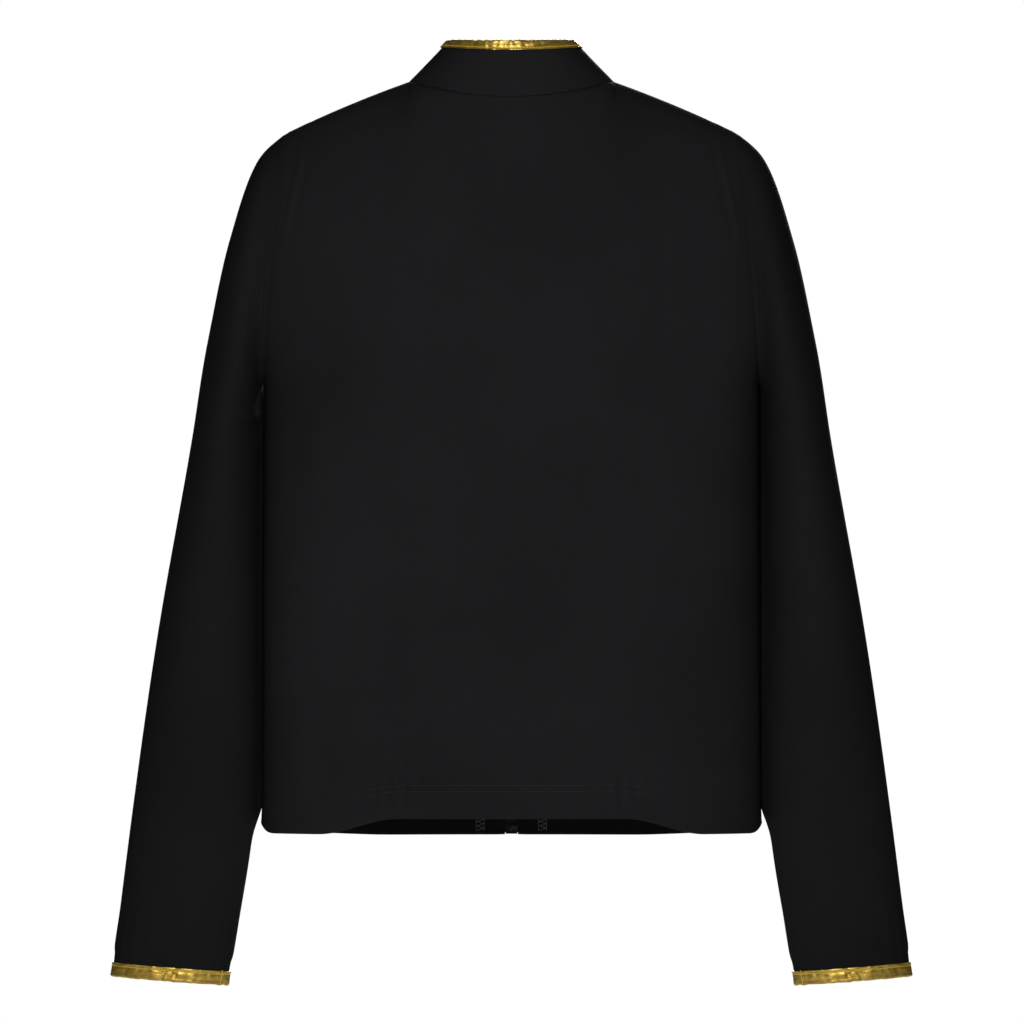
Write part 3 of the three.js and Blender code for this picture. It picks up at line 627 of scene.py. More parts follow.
@dataclass(frozen=True)
class SleeveForm:
    """The sleeve's outer surface, from its crown and underarm lines and its depth, in mm."""

    body: BodyForm = BodyForm()
    length: float = 633
    cuff_width: float = 89
    cuff_depth: float = 50
    cuff_tilt: float = 7
    flare: float = 0.141
    arm_depth: float = 54
    elbow_depth: float = 47
    wrist_depth: float = 33
    body_gap: float = 3.5
    crown_steps: tuple = ((0, 0), (20, -20), (42, -81), (57.5, -155), (69.5, -223))
    pit_steps: tuple = ((0, 0), (1.9, -3), (3, -8), (4.2, -17))

    def stations(self) -> tuple[Array, Array, Array]:
        """Matching points down the outer edge, the inner edge and the half depth.

        Returns:
            Eight points of the outer edge, eight of the inner edge and eight half depths.
        """
        b = self.body
        edge, end = b.hem_half + self.body_gap, -b.shoulder_drop - self.length
        inner_end = np.array([edge + 21, end - self.cuff_tilt])
        reach = math.sqrt(self.cuff_width**2 - self.cuff_tilt**2)
        outer_end = inner_end + np.array([reach, self.cuff_tilt])
        elbow, wrist = mix(-b.shoulder_drop, end, 0.555), mix(-b.shoulder_drop, end, 0.79)
        crown, pit = np.array([b.shoulder_half, -b.shoulder_drop]), np.array([b.armpit_half, -b.armpit_drop])
        arm_line = [(outer_end[0] - self.flare * (z - end), z) for z in (elbow, wrist)]
        outer = [*(crown + np.array(self.crown_steps)), *arm_line, outer_end]
        below = [(edge - 0.6, pit[1] - 44), (edge, elbow - 9), (edge + 1, wrist - 9)]
        inner = [*(pit + np.array(self.pit_steps)), *below, inner_end]
        arm, hole = self.arm_depth, b.armhole_half
        top = [hole, mix(hole, arm, 0.5), mix(hole, arm, 0.9), arm, arm - 1]
        depth = [*top, self.elbow_depth, self.wrist_depth, self.cuff_depth / 2]
        return np.array(outer, float), np.array(inner, float), np.array(depth, float)

    def surface(self, sign: int, along: Array, angle: Array, inset: Array | float = 0) -> Array:
        """Points at a share along the sleeve and an angle round it.

        The section is an ellipse between the two edge lines: middle + arm * cos(angle), with
        depth * sin(angle) towards the back; inset shrinks both half axes.

        Args:
            sign: -1 for the wearer's left, 1 for the right.
            along: 0 at the armhole to 1 at the end.
            angle: 0 at the outer edge, a quarter turn at the back.
            inset: how far inside the outer face, in millimetres.

        Returns:
            Points in millimetres.
        """
        along, angle = np.broadcast_arrays(along, angle)
        outer_s, inner_s, depth_s = self.stations()
        outer, inner = (spline(s, along) for s in (outer_s, inner_s))
        steps = np.stack([np.arange(len(depth_s)) * 40.0, depth_s], axis=-1)
        depth = spline(steps, along)[..., 1]
        arm = (outer - inner) / 2
        reach = np.linalg.norm(arm, axis=-1)
        arm = arm * ((reach - inset) / reach)[..., None]
        flat = (outer + inner) / 2 + arm * np.cos(angle)[..., None]
        return xyz(sign * flat[..., 0], -(depth - inset) * np.sin(angle), flat[..., 1])


# ---- Finishes ------------------------------------------------------------------------------
Socket = bpy.types.NodeSocket
Colour = tuple[float, float, float]


class Graph:
    """Short calls that add nodes to a tree and link them."""

    def __init__(self, tree: bpy.types.NodeTree) -> None:
        """Keeps the tree that nodes are added to."""
        self.tree = tree

    def plug(self, socket: Socket, value: object) -> None:
        """Links a socket into an input, or sets the input's plain value."""
        if isinstance(value, bpy.types.NodeSocket):
            self.tree.links.new(value, socket)
        else:
            socket.default_value = value

    def node(self, kind: str, inputs: dict[str | int, object], **options: object) -> bpy.types.Node:
        """Adds a node with its options and inputs set.

        Args:
            kind: the node's type, without its leading ShaderNode.
            inputs: values or sockets, by the input's name or number.
            **options: the node's own settings.

        Returns:
            The node.
        """
        node = self.tree.nodes.new("ShaderNode" + kind)
        for key, value in options.items():
            setattr(node, key, value)
        for key, value in inputs.items():
            self.plug(node.inputs[key], value)
        return node

    def math(self, operation: str, *values: object) -> Socket:
        """The result of a Math node on one to three values."""
        return self.node("Math", dict(enumerate(values)), operation=operation).outputs[0]

    def between(self, low: Colour, high: Colour, share: Socket) -> Socket:
        """The colour a share of the way from low to high."""
        inputs = {0: share, 6: (*low, 1), 7: (*high, 1)}
        return self.node("Mix", inputs, data_type="RGBA").outputs[2]

    def noise(self, place: Socket, scale: Socket | float, detail: float = 3.0) -> Socket:
        """A fractal noise value at a place."""
        inputs = {"Vector": place, "Scale": scale, "Detail": detail}
        return self.node("TexNoise", inputs).outputs["Fac"]

    def stretched(self, place: Socket, scale: Colour) -> Socket:
        """A place scaled along its three axes, to stretch a pattern."""
        return self.node("Mapping", {"Vector": place, "Scale": scale}).outputs[0]

    def object_place(self) -> Socket:
        """The place on the piece in metres."""
        return self.node("TexCoord", {}).outputs["Object"]

    def cloth_place(self) -> Socket:
        """The place on the flat cloth in metres."""
        return self.node("UVMap", {}, uv_map="cloth").outputs[0]

    def group(self, tree: bpy.types.NodeTree, inputs: dict[str, object]) -> Socket:
        """Places a shared effect with its inputs, and returns its output.

        Args:
            tree: the shared effect.
            inputs: values or sockets, by the input's name.

        Returns:
            The effect's only output.
        """
        node = self.node("Group", {}, node_tree=tree)
        for word, value in inputs.items():
            self.plug(node.inputs[word], value)
        return node.outputs[0]

    def loops(self, place: Socket, pitch: float) -> Socket:
        """The height of knitted loops of a pitch."""
        tree = effect("Knit Loops", {"Place": "Vector", "Pitch": "Float"}, "Height", draw_knit)
        return self.group(tree, {"Place": place, "Pitch": pitch})

    def ribs(self, place: Socket, pitch: float) -> Socket:
        """The height of woven ribs of a pitch."""
        tree = effect("Twill Ribs", {"Place": "Vector", "Pitch": "Float"}, "Height", draw_twill)
        return self.group(tree, {"Place": place, "Pitch": pitch})

    def cloud(self, place: Socket, broad: float, fine: float) -> Socket:
        """An uneven tone of a broad and a fine scale.

        Args:
            place: where the tone is read.
            broad: the scale of the broad noise.
            fine: the scale of the fine noise.

        Returns:
            The tone, from 0 to 1.
        """
        ins = {"Place": "Vector", "Broad": "Float", "Fine": "Float"}
        tree = effect("Uneven Tone", ins, "Tone", draw_cloud)
        return self.group(tree, {"Place": place, "Broad": broad, "Fine": fine})

    def relief(self, height: Socket, distance: float, strength: float = 1.0) -> Socket:
        """A normal from a height."""
        inputs = {"Height": height, "Distance": distance, "Strength": strength}
        return self.node("Bump", inputs).outputs[0]


Draw = Callable[[Graph, dict[str, Socket]], Socket]


def effect(name: str, ins: dict[str, str], out: str, draw: Draw) -> bpy.types.NodeTree:
    """A shared node group with one float output, made once.

    Args:
        name: the group's name.
        ins: input names and whether each is a Vector or a Float.
        out: the output's name.
        draw: adds the nodes and returns the socket that holds the result.

    Returns:
        The group.
    """
    if name in bpy.data.node_groups:
        return bpy.data.node_groups[name]
    tree = bpy.data.node_groups.new(name, "ShaderNodeTree")
    for word, kind in ins.items():
        tree.interface.new_socket(name=word, in_out="INPUT", socket_type="NodeSocket" + kind)
    tree.interface.new_socket(name=out, in_out="OUTPUT", socket_type="NodeSocketFloat")
    source = tree.nodes.new("NodeGroupInput")
    result = draw(Graph(tree), {socket.name: socket for socket in source.outputs if socket.name})
    tree.links.new(result, tree.nodes.new("NodeGroupOutput").inputs[out])
    return tree


def draw_knit(g: Graph, ins: dict[str, Socket]) -> Socket:
    """Rows of V-shaped loops: wales across U, and courses along V that lean away from a wale.

    Args:
        g: the group's graph.
        ins: its input sockets by name.

    Returns:
        The loops' height.
    """
    parts = g.node("SeparateXYZ", {0: ins["Place"]}).outputs
    wale = g.math("DIVIDE", parts[0], ins["Pitch"])
    lean = g.math("ABSOLUTE", g.math("SUBTRACT", g.math("FRACT", wale), 0.5))
    course = g.math("ADD", g.math("DIVIDE", parts[1], ins["Pitch"]), lean)
    loop = g.math("ABSOLUTE", g.math("SINE", g.math("MULTIPLY", course, math.pi)))
    ridge = g.math("SUBTRACT", 1.0, g.math("MULTIPLY", lean, 2.0))
    return g.math("MULTIPLY_ADD", loop, 0.4, g.math("MULTIPLY", g.math("SQRT", ridge), 0.6))


def draw_twill(g: Graph, ins: dict[str, Socket]) -> Socket:
    """Diagonal ribs broken by the weft: a sine of U + V times a sine of U - 3V.

    Args:
        g: the group's graph.
        ins: its input sockets by name.

    Returns:
        The ribs' height.
    """
    parts = g.node("SeparateXYZ", {0: ins["Place"]}).outputs
    lines = (g.math("ADD", parts[0], parts[1]), g.math("MULTIPLY_ADD", parts[1], -3.0, parts[0]))
    turns = (g.math("MULTIPLY", g.math("DIVIDE", line, ins["Pitch"]), math.pi) for line in lines)
    rib, weft = (g.math("ABSOLUTE", g.math("SINE", turn)) for turn in turns)
    return g.math("MULTIPLY_ADD", weft, 0.3, g.math("MULTIPLY", rib, 0.7))


def draw_cloud(g: Graph, ins: dict[str, Socket]) -> Socket:
    """A broad and a fine noise added, as an uneven tone between 0 and 1."""
    broad, fine = (g.noise(ins["Place"], ins[word]) for word in ("Broad", "Fine"))
    return g.math("MULTIPLY_ADD", broad, 0.6, g.math("MULTIPLY", fine, 0.4))


@dataclass(frozen=True)
class Finish:
    """A procedural surface. Subclasses add their pattern to the shader."""

    name: str
    colour: Colour
    deep: Colour
    roughness: float = 0.6
    metallic: float = 0.0
    specular: float = 0.3
    pitch: float = 0.0006

    def material(self) -> bpy.types.Material:
        """The finish's material, made once.

        Returns:
            The material.
        """
        if self.name in bpy.data.materials:
            return bpy.data.materials[self.name]
        material = bpy.data.materials.new(self.name)
        material.use_nodes = True
        shader = material.node_tree.nodes["Principled BSDF"]
        shader.inputs["Roughness"].default_value = self.roughness
        shader.inputs["Metallic"].default_value = self.metallic
        shader.inputs["Specular IOR Level"].default_value = self.specular
        self.pattern(Graph(material.node_tree), shader)
        return material

    def pattern(self, g: Graph, shader: bpy.types.Node) -> None:
        """An uneven tone between the two colours, with a slight relief.

        Args:
            g: the material's graph.
            shader: its Principled BSDF node.
        """
        place = g.object_place()
        tone = g.cloud(place, 60.0, 900.0)
        g.plug(shader.inputs["Base Color"], g.between(self.deep, self.colour, tone))
        g.plug(shader.inputs["Normal"], g.relief(tone, 0.0001))


@dataclass(frozen=True)
class Knit(Finish):
    """Matte fine stretch knit: dark loops with painted shade between them, a little lint and an uneven dye.
    """

    def pattern(self, g: Graph, shader: bpy.types.Node) -> None:
        """Loops from the knit group raise the cloth and lighten its colour, which leaves painted shade
        between them; the roughness follows the uneven tone.

        Args:
            g: the material's graph.
            shader: its Principled BSDF node.
        """
        place, loose = g.cloth_place(), g.object_place()
        loops = g.loops(place, self.pitch)
        tone = g.cloud(loose, 9.0, 430.0)
        # Painted shade: the loops' height also darkens the colour in the hollows between the loops.
        share = g.math("MULTIPLY_ADD", loops, 0.35, g.math("MULTIPLY", tone, 0.65))
        g.plug(shader.inputs["Base Color"], g.between(self.deep, self.colour, share))
        rough = g.math("MULTIPLY_ADD", tone, 0.15, self.roughness - 0.08)
        g.plug(shader.inputs["Roughness"], rough)
        height = g.math("MULTIPLY_ADD", tone, 0.25, loops)
        g.plug(shader.inputs["Normal"], g.relief(height, 0.00012, 0.6))


@dataclass(frozen=True)
class Lame(Finish):
    """Foil-coated stretch cloth: crinkles, and streaks of bright and deep metal colour that are painted
    highlight and painted shade.
    """

    def pattern(self, g: Graph, shader: bpy.types.Node) -> None:
        """Noise stretched across the band makes streaks of painted highlight and painted shade; cells
        between creases catch light.

        Args:
            g: the material's graph.
            shader: its Principled BSDF node.
        """
        place = g.cloth_place()
        streak_and_glint = g.noise(g.stretched(place, (420.0, 90.0, 1.0)), 1.0, 4.0)
        broad = g.noise(g.stretched(place, (60.0, 25.0, 1.0)), 1.0, 2.0)
        cells = {"Vector": g.stretched(place, (700.0, 450.0, 1.0)), "Scale": 1.0}
        crease = g.node("TexVoronoi", cells, feature="DISTANCE_TO_EDGE").outputs["Distance"]
        # Painted highlight and painted shade: the streaks mix the colour between bright and deep gold, as
        # light on crinkled foil would.
        share = g.math("MULTIPLY_ADD", broad, 0.9, g.math("MULTIPLY_ADD", streak_and_glint, 1.3, -0.62))
        share = g.node("Clamp", {0: share}).outputs[0]
        g.plug(shader.inputs["Base Color"], g.between(self.deep, self.colour, share))
        rough = g.math("MULTIPLY_ADD", streak_and_glint, 0.25, self.roughness - 0.1)
        g.plug(shader.inputs["Roughness"], rough)
        height = g.math("MULTIPLY_ADD", g.math("MINIMUM", crease, 0.3), 0.5, streak_and_glint)
        g.plug(shader.inputs["Normal"], g.relief(height, 0.0004, 0.7))


@dataclass(frozen=True)
class Woven(Finish):
    """Woven tape or label cloth with a diagonal rib."""

    def pattern(self, g: Graph, shader: bpy.types.Node) -> None:
        """Ribs from the twill group over an uneven tone; the ribs also lighten the colour, leaving painted
        shade in the grooves.

        Args:
            g: the material's graph.
            shader: its Principled BSDF node.
        """
        ribs = g.ribs(g.cloth_place(), self.pitch)
        tone = g.cloud(g.object_place(), 40.0, 1200.0)
        # Painted shade: the ribs' height also darkens the colour in the grooves between them.
        share = g.math("MULTIPLY_ADD", ribs, 0.5, g.math("MULTIPLY", tone, 0.5))
        g.plug(shader.inputs["Base Color"], g.between(self.deep, self.colour, share))
        g.plug(shader.inputs["Normal"], g.relief(ribs, 0.00015))


@dataclass(frozen=True)
class Metal(Finish):
    """Lacquered zip metal, brushed and rubbed lighter in places."""

    def pattern(self, g: Graph, shader: bpy.types.Node) -> None:
        """Long fine scratches along the zip, with rubbed patches that are lighter and rougher.

        Args:
            g: the material's graph.
            shader: its Principled BSDF node.
        """
        place = g.object_place()
        brushed = g.noise(g.stretched(place, (9000.0, 9000.0, 400.0)), 1.0, 2.0)
        rubbed = g.cloud(place, 300.0, 2500.0)
        worn = g.node("Clamp", {0: g.math("MULTIPLY_ADD", rubbed, 4.0, -1.9)}).outputs[0]
        g.plug(shader.inputs["Base Color"], g.between(self.deep, self.colour, worn))
        rough = g.math("MULTIPLY_ADD", worn, 0.15, self.roughness)
        g.plug(shader.inputs["Roughness"], rough)
        g.plug(shader.inputs["Normal"], g.relief(brushed, 0.00002, 0.5))


KNIT = Knit("stretch knit", (0.0168, 0.0168, 0.0187), (0.0022, 0.0022, 0.0025), 0.92, specular=0.06)
# A darker copy of the body's knit for the sleeves, which are the same cloth: painted shade.
SHADED_SLEEVE_KNIT = Knit("sleeve knit", (0.0138, 0.0138, 0.0142), (0.0016, 0.0016, 0.0018), 0.92, specular=0.06)
# The lamé's bright and deep colours are painted highlight and painted shade, mixed in streaks.
LAME = Lame("gold lame", (0.86, 0.6, 0.13), (0.2, 0.11, 0.004), 0.36, 0.8, 0.5)
GOLD_THREAD = Finish("gold thread", (0.95, 0.72, 0.06), (0.7, 0.45, 0.02), 0.4, 0.25)
BLACK_THREAD = Finish("black thread", (0.016, 0.016, 0.018), (0.006, 0.006, 0.007), 0.55)
GREY_THREAD = Finish("grey thread", (0.2, 0.2, 0.21), (0.09, 0.09, 0.095), 0.6)
TAPE = Woven("woven tape", (0.016, 0.016, 0.017), (0.006, 0.006, 0.006), 0.8, pitch=0.0009)
LABEL = Woven("satin label", (0.72, 0.72, 0.69), (0.5, 0.5, 0.48), 0.45, pitch=0.0005)
INTERLINING = Woven("interlining", (0.05, 0.05, 0.055), (0.02, 0.02, 0.022), 0.9, pitch=0.0014)
COIL = Finish("zip coil", (0.014, 0.014, 0.015), (0.008, 0.008, 0.009), 0.35, specular=0.5)
METAL = Metal("zip metal", (0.16, 0.16, 0.17), (0.022, 0.022, 0.024), 0.3, 0.9, 0.5)

FLOOR = Finish("pale floor", (0.82, 0.82, 0.82), (0.76, 0.76, 0.76), 0.7)


@dataclass
class Dressing:
    """Gives pieces their finish and body, and reports them."""

    made: list[str] = field(default_factory=list)

    def put(
        self,
        piece: bpy.types.Object,
        finish: Finish,
        slot: str,
        body: str | None = "torso",
        nodes: tuple[str, ...] = (),
    ) -> None:
        """Dresses a piece.

        Args:
            piece: the finished mesh object.
            finish: its surface.
            slot: the record's material slot; not used.
            body: the CAD body it rides on, or None to leave it unattached.
            nodes: the CAD nodes it stands for.
        """
        piece.data.materials.append(finish.material())
        if body:
            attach(piece, body)
        if nodes:
            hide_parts(*nodes)
        self.made.append(piece.name)
        log.info("%s: %d faces, %s", piece.name, len(piece.data.polygons), finish.name)

    def keep(self, node: str, finish: Finish) -> None:
        """Gives a CAD node that stays in view a better material.

        Args:
            node: the CAD node's name.
            finish: its surface.
        """
        slots = bpy.data.objects[node].material_slots
        for slot in slots:
            slot.material = finish.material()
        log.info("%s: kept, %s", node, finish.name)


# ---- Body ----------------------------------------------------------------------------------
@dataclass(frozen=True)
class Patch:
    """A small flat piece inside the back, over a span of shares and a span of levels.

    Each span is its start, its end and its number of points; flat and area are in metres.
    """

    node: str
    finish: Finish
    slot: str
    shares: tuple[float, float, int]
    levels: tuple[float, float, int]
    thick: float
    flat: tuple[float, float]
    area: float | None = None
    sink: float = 0.0
    rests_on: str = "back_panel_cloth"


NECK_TAPE = Patch(
    "back_neck_tape", TAPE, "woven_tape", (-0.43, 0.43, 60), (1.97, 2, 6), 0.8, (0.16, 0.01), area=0.0012
)
SIZE_LABEL = Patch(
    "size_label", LABEL, "label", (-0.14, 0.14, 30), (1.883, 1.97, 14), 0.5, (0.048, 0.019),
    sink=1.1, rests_on="back_neck_tape_cloth",
)
CARE_LABEL = Patch(
    "care_label", LABEL, "label", (-0.85, -0.94, 14), (0.088, 0.2, 20), 0.5, (0.028, 0.04)
)


@dataclass
class Body:
    """Back and front panels, their facings, seam allowances, tapes and labels."""

    dressing: Dressing
    form: BodyForm = BodyForm()
    neck_columns: int = 24
    shoulder_columns: int = 46
    hem_rows: int = 22
    side_rows: int = 36
    top_rows: int = 56
    hem_level: float = 0.1
    needle_rows: tuple[float, float] = (20.0, 24.8)
    hem_fold: float = 27.0
    facing_width: float = 22.0
    facing_sink: float = 2.95
    facing_thick: float = 1.0
    inside_sink: float = 1.7
    loop_sink: float = 2.25
    pucker_middles: tuple[float, float] = (-78, 74)
    pucker_pitch: float = 11
    topstitch: float = 6
    patches: tuple[Patch, ...] = (NECK_TAPE, SIZE_LABEL, CARE_LABEL)
    allowance: tuple[float, float] = (0.9972, 0.99995)

    def half_columns(self) -> Array:
        """Shares of the half width from the middle to the side, with one at the collar's end.

        Returns:
            Shares from 0 to 1.
        """
        neck = self.form.neck_share
        k = np.arange(self.neck_columns + 1) / self.neck_columns
        t = np.arange(1, self.shoulder_columns + 1) / self.shoulder_columns
        outer = mix(neck, 1, 0.6 * np.sin(math.pi / 2 * t) + 0.4 * t)
        return np.concatenate([neck * np.sin(math.pi / 2 * k), outer])

    def levels(self) -> Array:
        """Levels from the hem (0) over the armpits (1) to the top (2), closer at both ends.

        Returns:
            Levels from 0 to 2.
        """
        hem = np.linspace(0, self.hem_level, self.hem_rows, endpoint=False)
        side = np.linspace(self.hem_level, 1, self.side_rows, endpoint=False)
        k = np.arange(self.top_rows + 1) / self.top_rows
        return np.concatenate([hem, side, 1 + (1 - np.cos(math.pi * k)) / 2])

    def edge_normals(self, grid: Array, share: Array, level: Array) -> Array:
        """Outward normals, eased into the seams' own directions at the panel's edges.

        Args:
            grid: the panel's points, rows by columns by 3.
            share: signed shares of the half width.
            level: levels, one to a row.

        Returns:
            Unit normals of the grid's shape.
        """
        form = self.form
        share, level = (np.broadcast_to(a, grid.shape[:2])[..., None] for a in (share, level))
        normal = form.normals(grid)
        up, out_y = np.array([0, 0, 1.0]), np.array([0, 1.0, 0])
        ring = unit(grid * np.array([form.neck_half**-2, form.neck_front**-2, 0]))
        ridge = flattened(np.where(normal[..., 2:] > 0, normal, up), out_y)
        top = np.where(np.abs(share) < form.neck_share, ring, ridge)
        normal = unit(mix(normal, top, smooth(1.95, 2, level)))
        normal = unit(mix(flattened(normal, up), normal, smooth(0, 0.02, level)))
        sign = np.where(share < 0, -1.0, 1.0)
        seam = xyz(sign[..., 0], 0, 0)
        return unit(mix(normal, seam, smooth(0.992, 1, np.abs(share)) * (level <= 1)))

    def relief(self, side: Side, grid: Array, share: Array, level: Array) -> Array:
        """How far the cloth stands out from the plain form, in millimetres.

        Sunk needle rows at the hem, sunk seams, broad soft drapes that fade out at the seams,
        and on the back two groups of small puckers above the hem, two short folds beside each
        armhole and one below each shoulder.

        Args:
            side: back or front.
            grid: the panel's points, rows by columns by 3.
            share: signed shares of the half width.
            level: levels, one to a row.

        Returns:
            Heights in millimetres, rows by columns.
        """
        form = self.form
        x, z = grid[..., 0], grid[..., 2]
        size = np.abs(share)
        above = z - z[0]
        edge = (1 - size) * form.half_width(level)
        dent = -0.3 * sum(bump(above, row, 0.9) for row in self.needle_rows)
        dent = dent * (level < 0.5) + 0.25 * bump(above, 0, 2.2)
        wavy = 0.2 * Ripple(5).at(x / 5.5, above / 30 + 7) * bump(above, 15, 14)
        drape = 2.0 * Ripple(11).at(x / 58 + 9, z / 190 + 3) + 0.6 * Ripple(12).at(x / 24, z / 70)
        drape = drape * smooth(0, 45, edge) * smooth(0, 60, above) * smooth(0, 0.3, 2 - level)
        seams = -0.4 * np.exp(-((edge / 1.6) ** 2)) * smooth(0, 20, above)
        top_gap = np.linalg.norm(grid - grid[-1], axis=-1)
        seams = seams - 0.35 * np.exp(-((top_gap / 1.8) ** 2)) * (size > form.neck_share)
        drag = 0.7 * bump(np.mod(above * 0.55 - edge, 34), 12, 5) * bump(edge, 22, 16)
        drag = drag * bump(z, -form.armpit_drop - 5, 40)
        total = dent + wavy + drape + seams + drag
        if side is Side.BACK:
            for middle in self.pucker_middles:
                ridge = np.sin((x - middle) * 2 * math.pi / self.pucker_pitch) * bump(x, middle, 34)
                total = total + ridge * bump(above, 24, 14)
            slant = 7 + 8 * smooth(-125, -45, z)
            folds = 1.1 * bump(edge, slant, 2.4) - 0.9 * bump(edge, slant + 4.5, 2.6)
            total = total + folds * bump(z, -82, 34)
            line = -25 - 0.26 * (np.abs(x) - 90)
            return total - bump(z, line, 3.2) * bump(np.abs(x), 106, 22)
        return total - 0.3 * bump(np.abs(x), form.front_edge + self.topstitch, 0.9)

    def panel(
        self, name: str, side: Side, share: Array, level: Array
    ) -> tuple[bpy.types.Object, Array, Array]:
        """A panel with its turned-up hem, which makes it thicker below the hem's fold line.

        Args:
            name: the piece's name.
            side: back or front.
            share: signed shares of the half width, rows by columns.
            level: levels, one to a row.

        Returns:
            The piece, its outer points and its outward normals.
        """
        grid = self.form.surface(side, share, level)
        share = np.broadcast_to(share, grid.shape[:2])
        grid = self.form.eased(grid, share, level)
        normal = self.edge_normals(grid, share, level)
        folds = self.relief(side, grid, share, level)
        above = grid[..., 2] - grid[0, :, 2]
        hem = 0.75 * (1 - smooth(self.hem_fold - 0.8, self.hem_fold + 0.8, above))
        outer = grid + normal * folds[..., None]
        plain = grid + normal * (folds * 0.8)[..., None]
        inner = plain - normal * (self.form.panel_thick + hem)[..., None]
        return cloth_slab(name, outer, inner, roll=0.3), outer, normal

    def front_shares(self, low: float, high: float | None, count: int, level: Array) -> Array:
        """Shares from a distance off the middle out to another, or to the side seam.

        Args:
            low: the first column's distance off the middle, in millimetres.
            high: the last column's distance, or None for the side seam.
            count: how many columns there are, where high is given.
            level: levels, one to a row.

        Returns:
            Shares of the half width, rows by columns.
        """
        half = self.form.half_width(level)
        if high is None:
            halves = self.half_columns()
            start = self.form.front_edge / self.form.shoulder_half
            c = np.concatenate([[0], (halves[halves > start + 0.004] - start) / (1 - start)])
            return low / half + (1 - low / half) * c
        return mix(low, high, np.linspace(0, 1, count)) / half

    def layer(
        self, name: str, side: Side, share: Array, level: Array, sink: float, thick: float
    ) -> bpy.types.Object:
        """A flat layer between two depths inside the body's outer surface.

        Args:
            name: the piece's name.
            side: back or front.
            share: signed shares of the half width.
            level: levels, one to a row.
            sink: how deep its outer face lies, in millimetres.
            thick: its thickness.

        Returns:
            The piece.
        """
        grid = self.form.surface(side, share, level)
        normal = self.edge_normals(grid, share, level)
        return cloth_slab(name, grid - normal * sink, grid - normal * (sink + thick), roll=0.15)

    def hem_threads(self, name: str, outer: Array, normal: Array) -> None:
        """Two needle rows of long stitches outside the hem and a zigzag of loops inside it.

        Args:
            name: the start of both pieces' names.
            outer: the panel's outer points.
            normal: the panel's outward normals.
        """
        above = (outer[..., 2] - outer[0, :, 2])[: self.hem_rows].T
        rows = []
        for height in self.needle_rows:
            numbers = [np.interp(height, column, range(self.hem_rows)) for column in above]
            places, normals = (
                np.array([sample(values[:, c], number) for c, number in enumerate(numbers)])
                for values in (outer, normal)
            )
            number, ahead = along_path(places, 3.0, 2.0)
            rows.append((sample(places, number), ahead, unit(sample(normals, number))))
        centre, ahead, up = (np.concatenate(part) for part in zip(*rows))
        piece = thread_row(f"{name}_hem_stitches", centre, ahead, up, 2.5, 0.17, 0.12)
        self.dressing.put(piece, BLACK_THREAD, "stretch_knit")
        count = min(len(row[0]) for row in rows)
        low, high = (row[0][:count] for row in rows)
        ahead, up = (part[:count] for part in rows[0][1:])
        middle = (low + high) / 2 - up * self.loop_sink
        slant = (high - low) + ahead * zigzag(count) * 3.0
        piece = thread_row(f"{name}_hem_loops", middle, slant, -up, 5.8, 0.2, 0.2)
        self.dressing.put(piece, GREY_THREAD, "stretch_knit")

    def build_back(self) -> None:
        """The back panel and its hem stitching."""
        halves = self.half_columns()
        share = np.concatenate([-halves[:0:-1], halves])[None]
        piece, outer, normal = self.panel("back_panel_cloth", Side.BACK, share, self.levels()[:, None])
        self.dressing.put(piece, KNIT, "stretch_knit", nodes=("back_panel",))
        self.hem_threads("back", outer, normal)

    def build_front(self, hand: Hand) -> None:
        """One front panel, its facing with an overlocked edge, and the stitching by the zip.

        Args:
            hand: the wearer's left or right.
        """
        level = self.levels()[:, None]
        share = hand.value * self.front_shares(self.form.front_edge, None, 0, level)
        name = f"{hand.word}_front"
        piece, outer, normal = self.panel(f"{name}_panel_cloth", Side.FRONT, share, level)
        self.dressing.put(piece, KNIT, "stretch_knit", nodes=(f"{name}_panel",))
        self.hem_threads(name, outer, normal)
        rows = level[level[:, 0] < 1.96]
        edge = self.form.front_edge
        share = hand.value * self.front_shares(edge, edge + self.facing_width, 9, rows)
        depths = (self.facing_sink, self.facing_thick)
        facing = self.layer(f"{name}_facing_cloth", Side.FRONT, share, rows, *depths)
        self.dressing.put(facing, KNIT, "stretch_knit", nodes=(f"{name}_facing",))
        self.overlock(f"{name}_facing_overlock", hand, edge + self.facing_width - 3.4, rows)
        self.zip_stitches(hand)

    def front_line(self, hand: Hand, distance: float, level: Array, sink: float) -> tuple[Array, Array]:
        """A line up the front at a distance from the middle, with its normals.

        Args:
            hand: the wearer's left or right.
            distance: how far off the middle it runs, in millimetres.
            level: levels, one to a row.
            sink: how deep it lies.

        Returns:
            Points and outward normals, one row each.
        """
        share = hand.value * (distance + np.array([-1.0, 0.0, 1.0])) / self.form.half_width(level)
        grid = self.form.surface(Side.FRONT, share, level)
        normal = self.form.normals(grid)
        return (grid - normal * sink)[:, 1], normal[:, 1]

